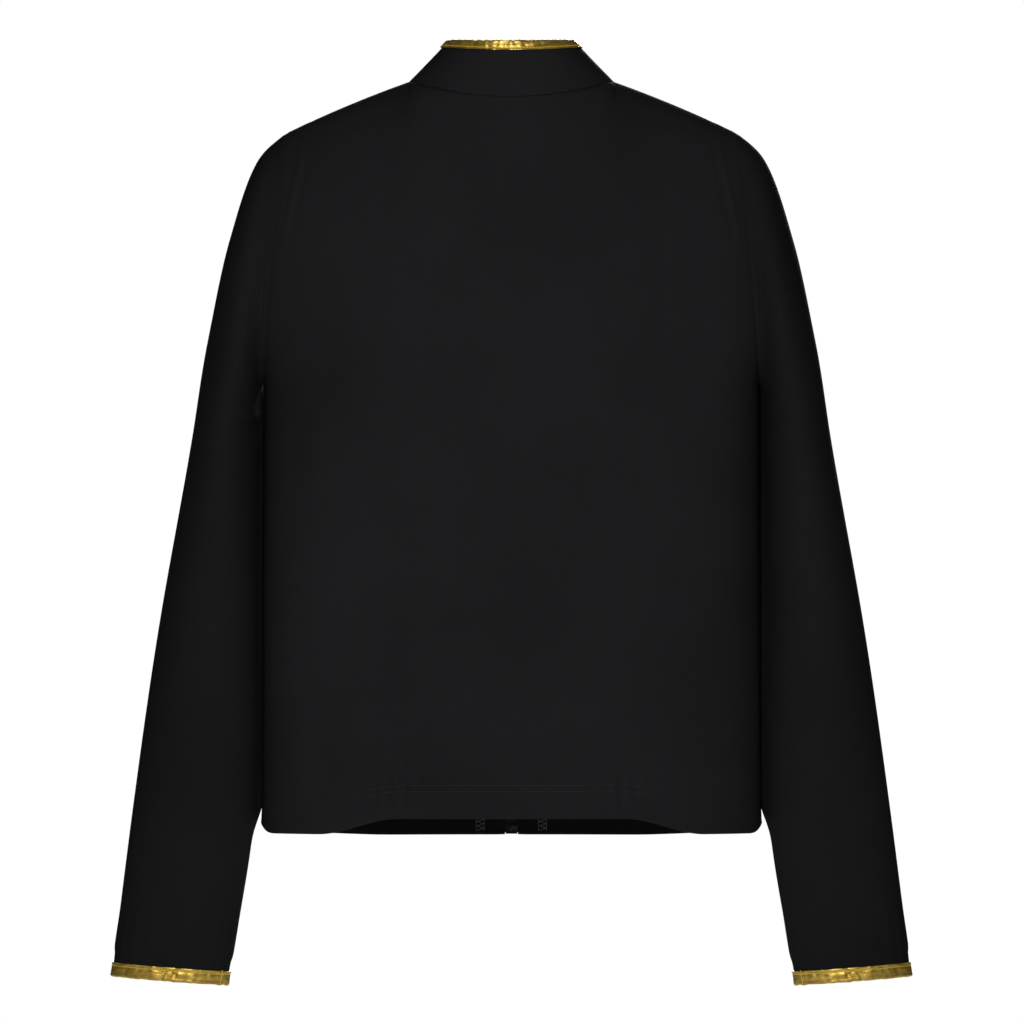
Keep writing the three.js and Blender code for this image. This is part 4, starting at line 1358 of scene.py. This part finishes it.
    def overlock(self, name: str, hand: Hand, distance: float, level: Array) -> None:
        """A zigzag of thread and two straight needle threads on the inside of a front edge.

        Args:
            name: the zigzag's name.
            hand: the wearer's left or right.
            distance: how far off the middle the zigzag runs, in millimetres.
            level: levels, one to a row.
        """
        path, normal = self.front_line(hand, distance, level, self.facing_sink + self.facing_thick)
        number, ahead = along_path(path, 1.7, 3.0)
        centre, up = sample(path, number), -unit(sample(normal, number))
        aside = unit(np.cross(ahead, up))
        slant = aside + ahead * zigzag(len(number)) * 0.3
        needle = np.concatenate([centre + aside * k for k in (-3.1, 2.9)])
        twice = (np.concatenate([v, v]) for v in (ahead, up))
        for piece in (
            thread_row(name, centre, slant, up, 6.4, 0.26, 0.2),
            thread_row(f"{name}_edges", needle, *twice, 1.75, 0.24, 0.1),
        ):
            self.dressing.put(piece, GREY_THREAD, "stretch_knit")

    def zip_stitches(self, hand: Hand) -> None:
        """One row of stitches up the front, beside the zip.

        Args:
            hand: the wearer's left or right.
        """
        level = self.levels()[2:-1, None]
        path, normal = self.front_line(hand, self.form.front_edge + self.topstitch, level, 0.25)
        number, ahead = along_path(path, 2.8, 1.0)
        centre, up = sample(path, number), unit(sample(normal, number))
        piece = thread_row(f"{hand.word}_zip_topstitch", centre, ahead, up, 2.3, 0.17, 0.12)
        self.dressing.put(piece, BLACK_THREAD, "stretch_knit")

    def build_inside(self) -> None:
        """Side seam allowances, shoulder tapes, the neck tape and two blank labels."""
        levels = self.levels()
        low = levels[(levels > 0.08) & (levels <= 1)][:, None]
        for hand in Hand:
            share = hand.value * np.linspace(*self.allowance, 6)[None]
            piece = self.layer(f"{hand.word}_seam_allowance", Side.BACK, share, low, self.inside_sink, 0.9)
            self.dressing.put(piece, KNIT, "stretch_knit")
            self.build_shoulder_tape(hand)
        for patch in self.patches:
            spans = (np.linspace(*patch.shares)[None], np.linspace(*patch.levels)[:, None])
            depths = (self.inside_sink + patch.sink, patch.thick)
            piece = self.layer(f"{patch.node}_cloth", Side.BACK, *spans, *depths)
            self.dressing.put(piece, patch.finish, patch.slot, nodes=(patch.node,))

    def build_shoulder_tape(self, hand: Hand) -> None:
        """A tape bent like a low roof under the shoulder seam: height 2 + 1.9 * |y| / 3.5.

        Args:
            hand: the wearer's left or right.
        """
        x = np.linspace(98, 160, 50)[:, None]
        y = np.linspace(-3.5, 3.5, 15)[None]
        drop = 2.0 + 1.9 * np.abs(y) / 3.5
        outer = xyz(hand.value * x, y, self.form.shoulder_line(x) - drop)
        name = f"{hand.word}_shoulder_tape"
        piece = cloth_slab(f"{name}_cloth", outer, outer - np.array([0, 0, 0.8]))
        self.dressing.put(piece, TAPE, "woven_tape", nodes=(name,))

    def build(self) -> None:
        """Builds the whole body."""
        self.build_back()
        for hand in Hand:
            self.build_front(hand)
        self.build_inside()


# ---- Gold bindings -------------------------------------------------------------------------
@dataclass(frozen=True)
class Binding:
    """The section of a band folded over an edge, as (out, along) pairs, and its crinkles."""

    gap: float
    stack: float
    outer_depth: float
    inner_depth: float
    seed: int
    thick: float = 0.9
    crown: float = 0.75
    crinkle: float = 0.2
    stitch_height: float = 2.4

    def section(self) -> tuple[Array, Array]:
        """The closed outline and how much of the crinkle each point takes.

        The middle line goes up the outer leg, over half an ellipse and down the inner leg; the
        outline is that line moved half a thickness to either side.

        Returns:
            Pairs of (out, along) and a share for each.
        """
        out = self.gap + self.thick / 2
        inn = -(self.stack + self.gap + self.thick / 2)
        fold = np.linspace(0, math.pi, 13)[1:-1]
        centre, reach = (out + inn) / 2, (out - inn) / 2
        legs = [
            np.stack([np.full(14, out), np.linspace(-self.outer_depth, 0, 14)], -1),
            np.stack([centre + reach * np.cos(fold), self.crown * np.sin(fold)], -1),
            np.stack([np.full(9, inn), np.linspace(0, -self.inner_depth, 9)], -1),
        ]
        line = np.concatenate(legs)
        slope = unit(np.gradient(line, axis=0))
        side = np.stack([slope[:, 1], -slope[:, 0]], -1) * self.thick / 2
        outline = np.concatenate([line + side, (line - side)[::-1]])
        share = np.concatenate([np.ones(len(line)), np.zeros(len(line))])
        share[[0, len(line) - 1]] = 0.4
        return outline, share

    def sweep(self, at: Array, out: Array, along: Array, run: Array, join: float | None = None) -> Array:
        """Carries the section along an edge.

        Each point moves off the section by crinkle * noise, sunk along the stitch row, and
        raised where the band's ends overlap.

        Args:
            at: the edge's points.
            out: directions off the cloth.
            along: directions past the edge.
            run: lengths along the edge, in millimetres.
            join: where the band's ends meet, in the same lengths.

        Returns:
            Rings of points.
        """
        outline, share = self.section()
        lift = np.cumsum(np.concatenate([[0], np.linalg.norm(np.diff(outline, axis=0), axis=1)]))
        u, v = run[:, None], lift[None]
        rough = Ripple(self.seed).at(u / 3.1, v / 4.5)
        rough = rough + 0.7 * Ripple(self.seed + 1).at(u / 1.9 + v / 6, v / 9)
        dent = -0.32 * bump(outline[None, :, 1], self.stitch_height - self.outer_depth, 1.0)
        dent = dent * (outline[None, :, 0] > 0)
        lap = 0.0 if join is None else 0.45 * bump(u, join, 2.2)
        off = share[None] * (self.crinkle * rough + dent + lap)
        spin = unit(np.gradient(np.concatenate([outline[-1:], outline, outline[:1]]), axis=0)[1:-1])
        side = np.stack([spin[:, 1], -spin[:, 0]], -1)
        flat = outline[None] + off[..., None] * side[None]
        return at[:, None] + flat[..., :1] * out[:, None] + flat[..., 1:] * along[:, None]

    def stitches(self, name: str, at: Array, out: Array, along: Array) -> bpy.types.Object:
        """Bright stitches along the outer leg, a little above its lower edge.

        Args:
            name: the piece's name.
            at: the edge's points.
            out: directions off the cloth.
            along: directions past the edge.

        Returns:
            The piece.
        """
        height = self.gap + self.thick - 0.28
        path = at + out * height + along * (self.stitch_height - self.outer_depth)
        number, ahead = along_path(path, 2.5, 0.5)
        return thread_row(name, sample(path, number), ahead, unit(sample(out, number)), 2.2, 0.27, 0.22)


# ---- Sleeves -------------------------------------------------------------------------------
@dataclass
class Sleeve:
    """One sleeve, its cuff binding and their stitching."""

    hand: Hand
    dressing: Dressing
    form: SleeveForm = SleeveForm()
    rows: int = 170
    sides: int = 112
    crown_share: float = 0.2
    web_drop: float = 330
    join_angle: float = 2.599
    rest_angle: float = 3.44
    rest_half: float = 185.6
    cuff_draw: float = 1.0
    binding: Binding = Binding(gap=-0.7, stack=3.2, outer_depth=9.4, inner_depth=8, seed=31)

    @property
    def body(self) -> str:
        """The CAD body that the cuff's pieces ride on."""
        return f"{self.hand.word}_sleeve"

    def relief(self, along: Array, angle: Array) -> Array:
        """Folds in millimetres off the plain form.

        A sunk head seam and underarm seam, long soft drapes, short slanting wrinkles inside
        the elbow, and small puckers above the binding.

        Args:
            along: 0 at the armhole to 1 at the end.
            angle: 0 at the outer edge, a quarter turn at the back.

        Returns:
            Heights in millimetres.
        """
        twist = self.hand.value * angle
        head = -0.3 * np.exp(-((along / 0.006) ** 2))
        under = -0.4 * bump(angle, math.pi, 0.02)
        drape = 0.9 * np.sin(2 * twist + 8 * along + 0.7) * np.sin(3.1 * along * math.pi + 0.4)
        drape = drape + 0.5 * np.sin(3 * twist - 13 * along)
        inner = 0.5 - 0.5 * np.cos(angle)
        folds = np.sin(along * 62 + 1.4 * np.sin(twist + 0.4) + 2.2 * np.sin(9 * along))
        folds = np.maximum(folds, -0.3) * bump(along, 0.53, 0.1) * inner
        cap = np.maximum(np.sin(along * 95 + 2.0 * np.cos(twist)), 0) * bump(along, 0.07, 0.04)
        gather = 0.3 * np.sin(24 * angle + 2 * np.sin(3 * angle)) * bump(along, 0.968, 0.02)
        fade = smooth(0, 0.05, along) * (1 - smooth(0.93, 0.985, along))
        drawn = -self.cuff_draw * smooth(0.976, 0.984, along)
        return head + under + drawn + (drape + 1.3 * folds + 0.8 * cap * inner) * fade + gather

    def nestle(self, along: Array, angle: Array) -> Array:
        """Moves the front of the underarm towards the body's side, which it rests beside.

        The move is a bell over the angle, whose peak brings the sleeve to rest_half off the
        middle; it starts below the armpit and ends a little above the hem.

        Args:
            along: 0 at the armhole to 1 at the end.
            angle: 0 at the outer edge, a quarter turn at the back.

        Returns:
            Moves in millimetres.
        """
        crest = self.form.surface(self.hand.value, along, np.full_like(angle, self.rest_angle))
        x, z = np.abs(crest[..., 0]), crest[..., 2]
        reach = (1 - smooth(-231, -221, z)) * smooth(-575, -530, z)
        move = np.maximum(x - self.rest_half, 0) * reach * bump(angle, self.rest_angle, 0.27)
        return xyz(-self.hand.value * move, 0, 0)

    def build_cloth(self) -> None:
        """The tube: outer rings with their folds and inner rings a thickness inside them."""
        t = np.linspace(0, 1, self.rows)
        along = mix(t, t * t * (3 - 2 * t), 0.55)[:, None]
        angle = np.linspace(0, 2 * math.pi, self.sides, endpoint=False)[None]
        folds = self.relief(along, angle)
        sign = self.hand.value
        b = self.form.body
        across = (sign * (b.armpit_drop - b.shoulder_drop), 0, b.armpit_half - b.shoulder_half)
        push = 0.3 * (1 - 2 * np.exp(-((along / 0.01) ** 2))) * (1 - along)
        move = push[..., None] * unit(np.array(across, float)) + self.nestle(along, angle)
        outside = self.form.surface(sign, along, angle, -folds) + move
        inside = self.form.surface(sign, along, angle, b.panel_thick - 0.8 * folds) + move
        rings = np.concatenate([outside, inside[::-1]])
        piece = ring_skin(f"{self.hand.word}_sleeve_cloth", rings, joined=True)
        # The sleeve's knit is the body's knit darkened: painted shade.
        self.dressing.put(piece, SHADED_SLEEVE_KNIT, "stretch_knit", body=None, nodes=(f"{self.hand.word}_sleeve",))
        self.bend(piece, np.concatenate([along, along[::-1]]), angle)

    def bend(self, piece: bpy.types.Object, along: Array, angle: Array) -> None:
        """Works out weights that would blend the sleeve from the body to its own body, and keeps none of
        them.

        In the weights, the line from the shoulder tip goes over to the arm soon after the head seam, and the
        underarm goes over slowly, from the armpit to web_drop below it. The vertices are set to (share, 0,
        0), where the share is the one whose eased value is the weight, and are then put back as they were.

        Args:
            piece: the tube, ring after ring.
            along: the share of each ring, one to a row.
            angle: the angle of each point in a ring.
        """
        z = self.form.surface(self.hand.value, along, angle)[..., 2]
        crown = smooth(0, self.crown_share, along) * (0.5 + 0.5 * np.cos(angle))
        below = np.clip((-self.form.body.armpit_drop - z) / self.web_drop, 0, 1)
        weight = 1 - (1 - crown) * (1 - below) ** 1.5
        share = (0.5 - np.sin(np.arcsin(1 - 2 * weight) / 3)).ravel()
        count = len(piece.data.vertices)
        true = np.empty(count * 3, np.float32)
        piece.data.vertices.foreach_get("co", true)
        line = np.zeros((count, 3), np.float32)
        line[:, 0] = share
        piece.data.vertices.foreach_set("co", line.ravel())
        self.body
        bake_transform(piece)
        piece.data.vertices.foreach_set("co", true)
        piece.data.update()

    def cuff_frames(self, angle: Array) -> tuple[Array, Array, Array]:
        """The sleeve's end at some angles: points, directions off the cloth and past the end.

        Args:
            angle: angles round the sleeve.

        Returns:
            The points and both unit directions.
        """
        sign = self.hand.value
        at = self.form.surface(sign, np.array(1.0), angle)
        along = unit(at - self.form.surface(sign, np.array(0.985), angle))
        round_ = self.form.surface(sign, np.array(1.0), angle + 0.02)
        round_ = round_ - self.form.surface(sign, np.array(1.0), angle - 0.02)
        out = unit(np.cross(round_, along))
        middle = self.form.surface(sign, np.array(1.0), np.linspace(0, 2 * math.pi, 8, endpoint=False))
        facing = np.sum(out * (at - middle.mean(axis=0)), axis=-1, keepdims=True)
        return at, np.where(facing < 0, -out, out), along

    def build_cuff(self) -> None:
        """The gold band, its stitch row and the joined ends."""
        angle = np.linspace(0, 2 * math.pi, 220, endpoint=False)
        at, out, along = self.cuff_frames(angle)
        steps = np.linalg.norm(np.diff(np.concatenate([at, at[:1]]), axis=0), axis=1)
        run = np.concatenate([[0], np.cumsum(steps)])[:-1]
        wrap = run / steps.sum() * 64 * 3.1
        rings = self.binding.sweep(at, out, along, wrap, np.interp(self.join_angle, angle, wrap))
        word = self.hand.word
        piece = ring_skin(f"{word}_cuff_binding_lame", rings, joined=True)
        self.dressing.put(piece, LAME, "gold_binding", self.body, (f"{word}_cuff_binding",))
        closed = self.cuff_frames(np.linspace(0, 2 * math.pi, 221))
        piece = self.binding.stitches(f"{word}_cuff_stitches", *closed)
        self.dressing.put(piece, GOLD_THREAD, "gold_binding", self.body)
        at, out, along = self.cuff_frames(np.full(5, self.join_angle))
        height = self.binding.gap + self.binding.thick + 0.2
        places = at + out * height + along * np.linspace(-9.2, -0.6, 5)[:, None]
        piece = thread_row(f"{word}_cuff_join_stitches", places, along, out, 1.9, 0.33, 0.25)
        self.dressing.put(piece, GOLD_THREAD, "gold_binding", self.body)

    def build(self) -> None:
        """Builds the sleeve and its cuff."""
        self.build_cloth()
        self.build_cuff()


# ---- Collar --------------------------------------------------------------------------------
@dataclass
class Collar:
    """The stand collar: outer and inner cloth, interlining and the gold binding on top."""

    dressing: Dressing
    form: BodyForm = BodyForm()
    columns: int = 241
    rows: int = 26
    thick: float = 1.2
    lining_sink: float = 1.5
    lining_thick: float = 0.8
    inner_sink: float = 3.05
    binding: Binding = Binding(
        gap=0.45, stack=4.25, outer_depth=6.6, inner_depth=6, seed=41, stitch_height=1.5
    )

    def layer(
        self, name: str, rise: Array, sink: float, thick: float, trim: int, wave: float
    ) -> bpy.types.Object:
        """A layer of the collar between two depths, with slight waves of its own.

        Args:
            name: the piece's name.
            rise: shares of the collar's height, one to a row.
            sink: how deep its outer face lies, in millimetres.
            thick: its thickness.
            trim: how many columns are left off at each end.
            wave: the waves' size in millimetres.

        Returns:
            The piece.
        """
        share = np.linspace(-1, 1, self.columns)[None]
        grid = self.form.collar(share, rise[:, None])
        normal = self.form.collar_normals(grid)
        run = np.cumsum(np.linalg.norm(np.gradient(grid[0], axis=0), axis=1))[None] / 26
        fade = np.sin(math.pi * np.clip(rise, 0, 1))[:, None]
        waves = wave * Ripple(21).at(run, rise[:, None] * 2) * fade
        sunk = [grid + normal * (waves - depth)[..., None] for depth in (sink, sink + thick)]
        cut = slice(trim, self.columns - trim)
        return cloth_slab(name, sunk[0][:, cut], sunk[1][:, cut], roll=0.2)

    def build(self) -> None:
        """Builds the layers, the binding and its stitches."""
        rise = np.linspace(0.012, 1, self.rows)
        top = rise[rise < 0.985]
        outer = self.layer("collar_outer_cloth", top, 0.0, self.thick, 0, 0.22)
        self.dressing.put(outer, KNIT, "stretch_knit", nodes=("collar_outer",))
        short = rise[rise < 0.93]
        lining = self.layer("collar_interlining_cloth", short, self.lining_sink, self.lining_thick, 8, 0.1)
        self.dressing.put(lining, INTERLINING, "interlining", nodes=("collar_interlining",))
        inner = self.layer("collar_inner_cloth", top, self.inner_sink, self.thick, 0, 0.15)
        self.dressing.put(inner, KNIT, "stretch_knit", nodes=("collar_inner",))
        share = np.linspace(-1, 1, 321)[None]
        grid = self.form.collar(share, np.array([[0.95], [1.0]]))
        along = unit(grid[1] - grid[0])
        out = flattened(self.form.collar_normals(grid)[1], along)
        run = np.concatenate([[0], np.cumsum(np.linalg.norm(np.diff(grid[1], axis=0), axis=1))])
        rings = self.binding.sweep(grid[1], out, along, run)
        piece = ring_skin("collar_binding_lame", rings, joined=False)
        self.dressing.put(piece, LAME, "gold_binding", nodes=("collar_binding",))
        piece = self.binding.stitches("collar_stitches", grid[1], out, along)
        self.dressing.put(piece, GOLD_THREAD, "gold_binding")


# ---- Zip -----------------------------------------------------------------------------------
@dataclass
class Zip:
    """The separating zip: tapes, coils and metal parts, in a frame that leans with the front."""

    dressing: Dressing
    form: BodyForm = BodyForm()
    tape_edge: float = 0.03
    tape_far: float = 15.7
    tape_sink: float = 1.85
    tape_thick: float = 0.8
    coil_middle: float = 1.95
    coil_reach: float = 1.3
    coil_depth: float = -0.75
    coil_height: float = 0.42
    wire: float = 0.34
    pitch: float = 1.9
    coil_top: float = 541.0
    left_coil_bottom: float = 20.0
    right_coil_bottom: float = 10.0
    box_bottom: float = 2.5
    box_top: float = 8.2

    def placed(self, points: Array) -> Array:
        """Points of the zip's own frame in the jacket's: leant back, then moved to the hem.

        Args:
            points: points in the zip's own frame, in millimetres.

        Returns:
            The points in the jacket's frame.
        """
        lean = math.atan(self.form.zip_slope)
        x, y, z = points[..., 0], points[..., 1], points[..., 2]
        y, z = y * math.cos(lean) - z * math.sin(lean), y * math.sin(lean) + z * math.cos(lean)
        return xyz(x, y + self.form.front_depth, z + self.form.zip_bottom)

    def build_tape(self, hand: Hand, levels: Array) -> None:
        """A tape that lies flat by the zip, then follows the front panel and the collar.

        Args:
            hand: the wearer's left or right.
            levels: the front panel's levels, one to a row.
        """
        form = self.form
        x = np.array([self.tape_edge, form.front_edge, 7.8, 10.4, 13.0, self.tape_far])[None]
        reach = np.maximum(x, form.front_edge)
        low = form.surface(Side.FRONT, reach / form.half_width(levels), levels)
        rise = np.linspace(0.05, 0.93, 16)[:, None]
        half = mix(form.neck_half, form.top_half, rise)
        end = mix(form.opening_angle(form.neck_half), form.opening_angle(form.top_half), rise)
        high = form.collar((math.pi - np.arcsin(reach / half)) / end, rise)
        outer = np.concatenate([low, high])
        outer = outer[outer[:, 0, 2] > form.zip_bottom + self.box_bottom]
        notch = outer[:, 0, 2] < form.zip_bottom + self.box_top
        outer[:, 0, 0] = np.where(notch, form.front_edge - 1.0, self.tape_edge)
        outer[..., 0] *= hand.value
        near, far = (outer - np.array([0, self.tape_sink + deep, 0]) for deep in (0, self.tape_thick))
        piece = cloth_slab(f"{hand.word}_zip_tape_cloth", near, far)
        self.dressing.put(piece, TAPE, "woven_tape", nodes=(f"{hand.word}_zip_tape",))
        f"{hand.word}_front_panel_cloth"

    def build_coil(self, hand: Hand) -> None:
        """A flattened helix: x = middle - reach * cos(a), y = height * sin(a), z by the pitch.

        Args:
            hand: the wearer's left or right.
        """
        bottom = self.left_coil_bottom if hand is Hand.LEFT else self.right_coil_bottom
        turns = (self.coil_top - 1.2 - bottom) / self.pitch
        shift = 0.15 if hand is Hand.LEFT else 0.0
        a = np.linspace(0, 2 * math.pi * turns, int(turns * 8) + 1)
        spine = xyz(
            hand.value * (self.coil_middle - self.coil_reach * np.cos(a)),
            self.coil_depth + self.coil_height * np.sin(a),
            bottom + 0.4 + self.pitch * (a / (2 * math.pi) + shift),
        )
        ahead = unit(np.gradient(spine, axis=0))
        side = unit(np.cross(ahead, np.array([0, 0, 1.0])))
        up = np.cross(side, ahead)
        k = np.linspace(0, 2 * math.pi, 6, endpoint=False)[None, :, None]
        rings = spine[:, None] + self.wire * (np.cos(k) * side[:, None] + np.sin(k) * up[:, None])
        piece = ring_skin(f"{hand.word}_zip_coil_turns", self.placed(rings), joined=False)
        self.dressing.put(piece, COIL, "zip_coil", nodes=(f"{hand.word}_zip_coil",))

    def build(self, levels: Array) -> None:
        """Builds both sides and gives the metal parts their finish.

        Args:
            levels: the body's levels.
        """
        for hand in Hand:
            self.build_tape(hand, levels[:, None])
            self.build_coil(hand)
            self.dressing.keep(f"{hand.word}_top_stop", METAL)
        for node in ("zip_insertion_pin", "zip_retainer_box", "zip_slider", "zip_pull_tab"):
            self.dressing.keep(node, METAL)


# ---- Studio --------------------------------------------------------------------------------
@dataclass(frozen=True)
class Lamp:
    """A square area light: its place and size in metres and its power in watts."""

    name: str
    place: Colour
    size: float
    power: float


@dataclass
class Studio:
    """A pale floor, soft lights and a long lens level with the jacket's middle."""

    distance: float = 9.0
    frame_width: float = 0.771
    height: float = -0.324
    offset: float = 0.0004
    sensor: float = 36.0
    floor_height: float = -1.15
    floor_half: float = 6.0
    seen_white: float = 0.975
    lit_white: float = 0.03
    lamps: tuple[Lamp, ...] = (
        Lamp("key", (-0.06, -1.8, -0.05), 0.45, 25),
        Lamp("overhead", (0.0, -0.5, 2.4), 1.4, 10),
        Lamp("rear", (0.3, 3.4, 0.8), 1.2, 110),
    )

    def light(self, lamp: Lamp) -> None:
        """A square area light that faces the jacket's middle.

        Args:
            lamp: the light's place, size and power.
        """
        data = bpy.data.lights.new(lamp.name, "AREA")
        data.shape, data.size, data.energy = "SQUARE", lamp.size, lamp.power
        holder = bpy.data.objects.new(lamp.name, data)
        holder.location = lamp.place
        bpy.context.scene.collection.objects.link(holder)
        aim = Vector((0.0, 0.0, self.height)) - Vector(lamp.place)
        holder.rotation_euler = aim.to_track_quat("-Z", "Y").to_euler()

    def build_camera(self) -> None:
        """The camera behind the jacket, whose view is frame_width across at the origin."""
        lens = bpy.data.cameras.new("camera")
        lens.sensor_width = self.sensor
        lens.lens = self.sensor * self.distance / self.frame_width
        lens.clip_end = 100
        holder = bpy.data.objects.new("camera", lens)
        holder.location = (self.offset, -self.distance, self.height)
        holder.rotation_euler = (math.pi / 2, 0, 0)
        bpy.context.scene.collection.objects.link(holder)
        bpy.context.scene.camera = holder

    def build_world(self) -> None:
        """A white surround for the eye, and a dimmer one for the light it gives."""
        world = bpy.data.worlds.new("studio")
        world.use_nodes = True
        g = Graph(world.node_tree)
        back = world.node_tree.nodes["Background"]
        seen = g.node("LightPath", {}).outputs["Is Camera Ray"]
        g.plug(back.inputs["Color"], (1, 1, 1, 1))
        g.plug(back.inputs["Strength"], g.math("MULTIPLY_ADD", seen, self.seen_white, self.lit_white))
        bpy.context.scene.world = world
        bpy.context.scene.view_settings.view_transform = "Standard"

    def build_floor(self) -> None:
        """A wide pale floor below the jacket, with a faint unevenness."""
        x, y = np.array([-1, 1, 1, -1]), np.array([-1, -1, 1, 1])
        corners = xyz(x * self.floor_half, y * self.floor_half, self.floor_height)
        floor = piece_from("floor", corners / MM, np.array([[0, 1, 2, 3]]))
        floor.data.materials.append(FLOOR.material())

    def build(self) -> None:
        """Sets up the whole studio."""
        self.build_camera()
        self.build_world()
        self.build_floor()
        for lamp in self.lamps:
            self.light(lamp)


def main() -> None:
    """Builds the studio, then the jacket from the body outwards."""
    logging.basicConfig(level=logging.INFO, format="%(name)s %(message)s")
    Studio().build()
    dressing = Dressing()
    body = Body(dressing)
    body.build()
    for hand in Hand:
        Sleeve(hand, dressing).build()
    Collar(dressing).build()
    Zip(dressing).build(body.levels())
    log.info("%d pieces made", len(dressing.made))


if __name__ == "__main__":
    main()
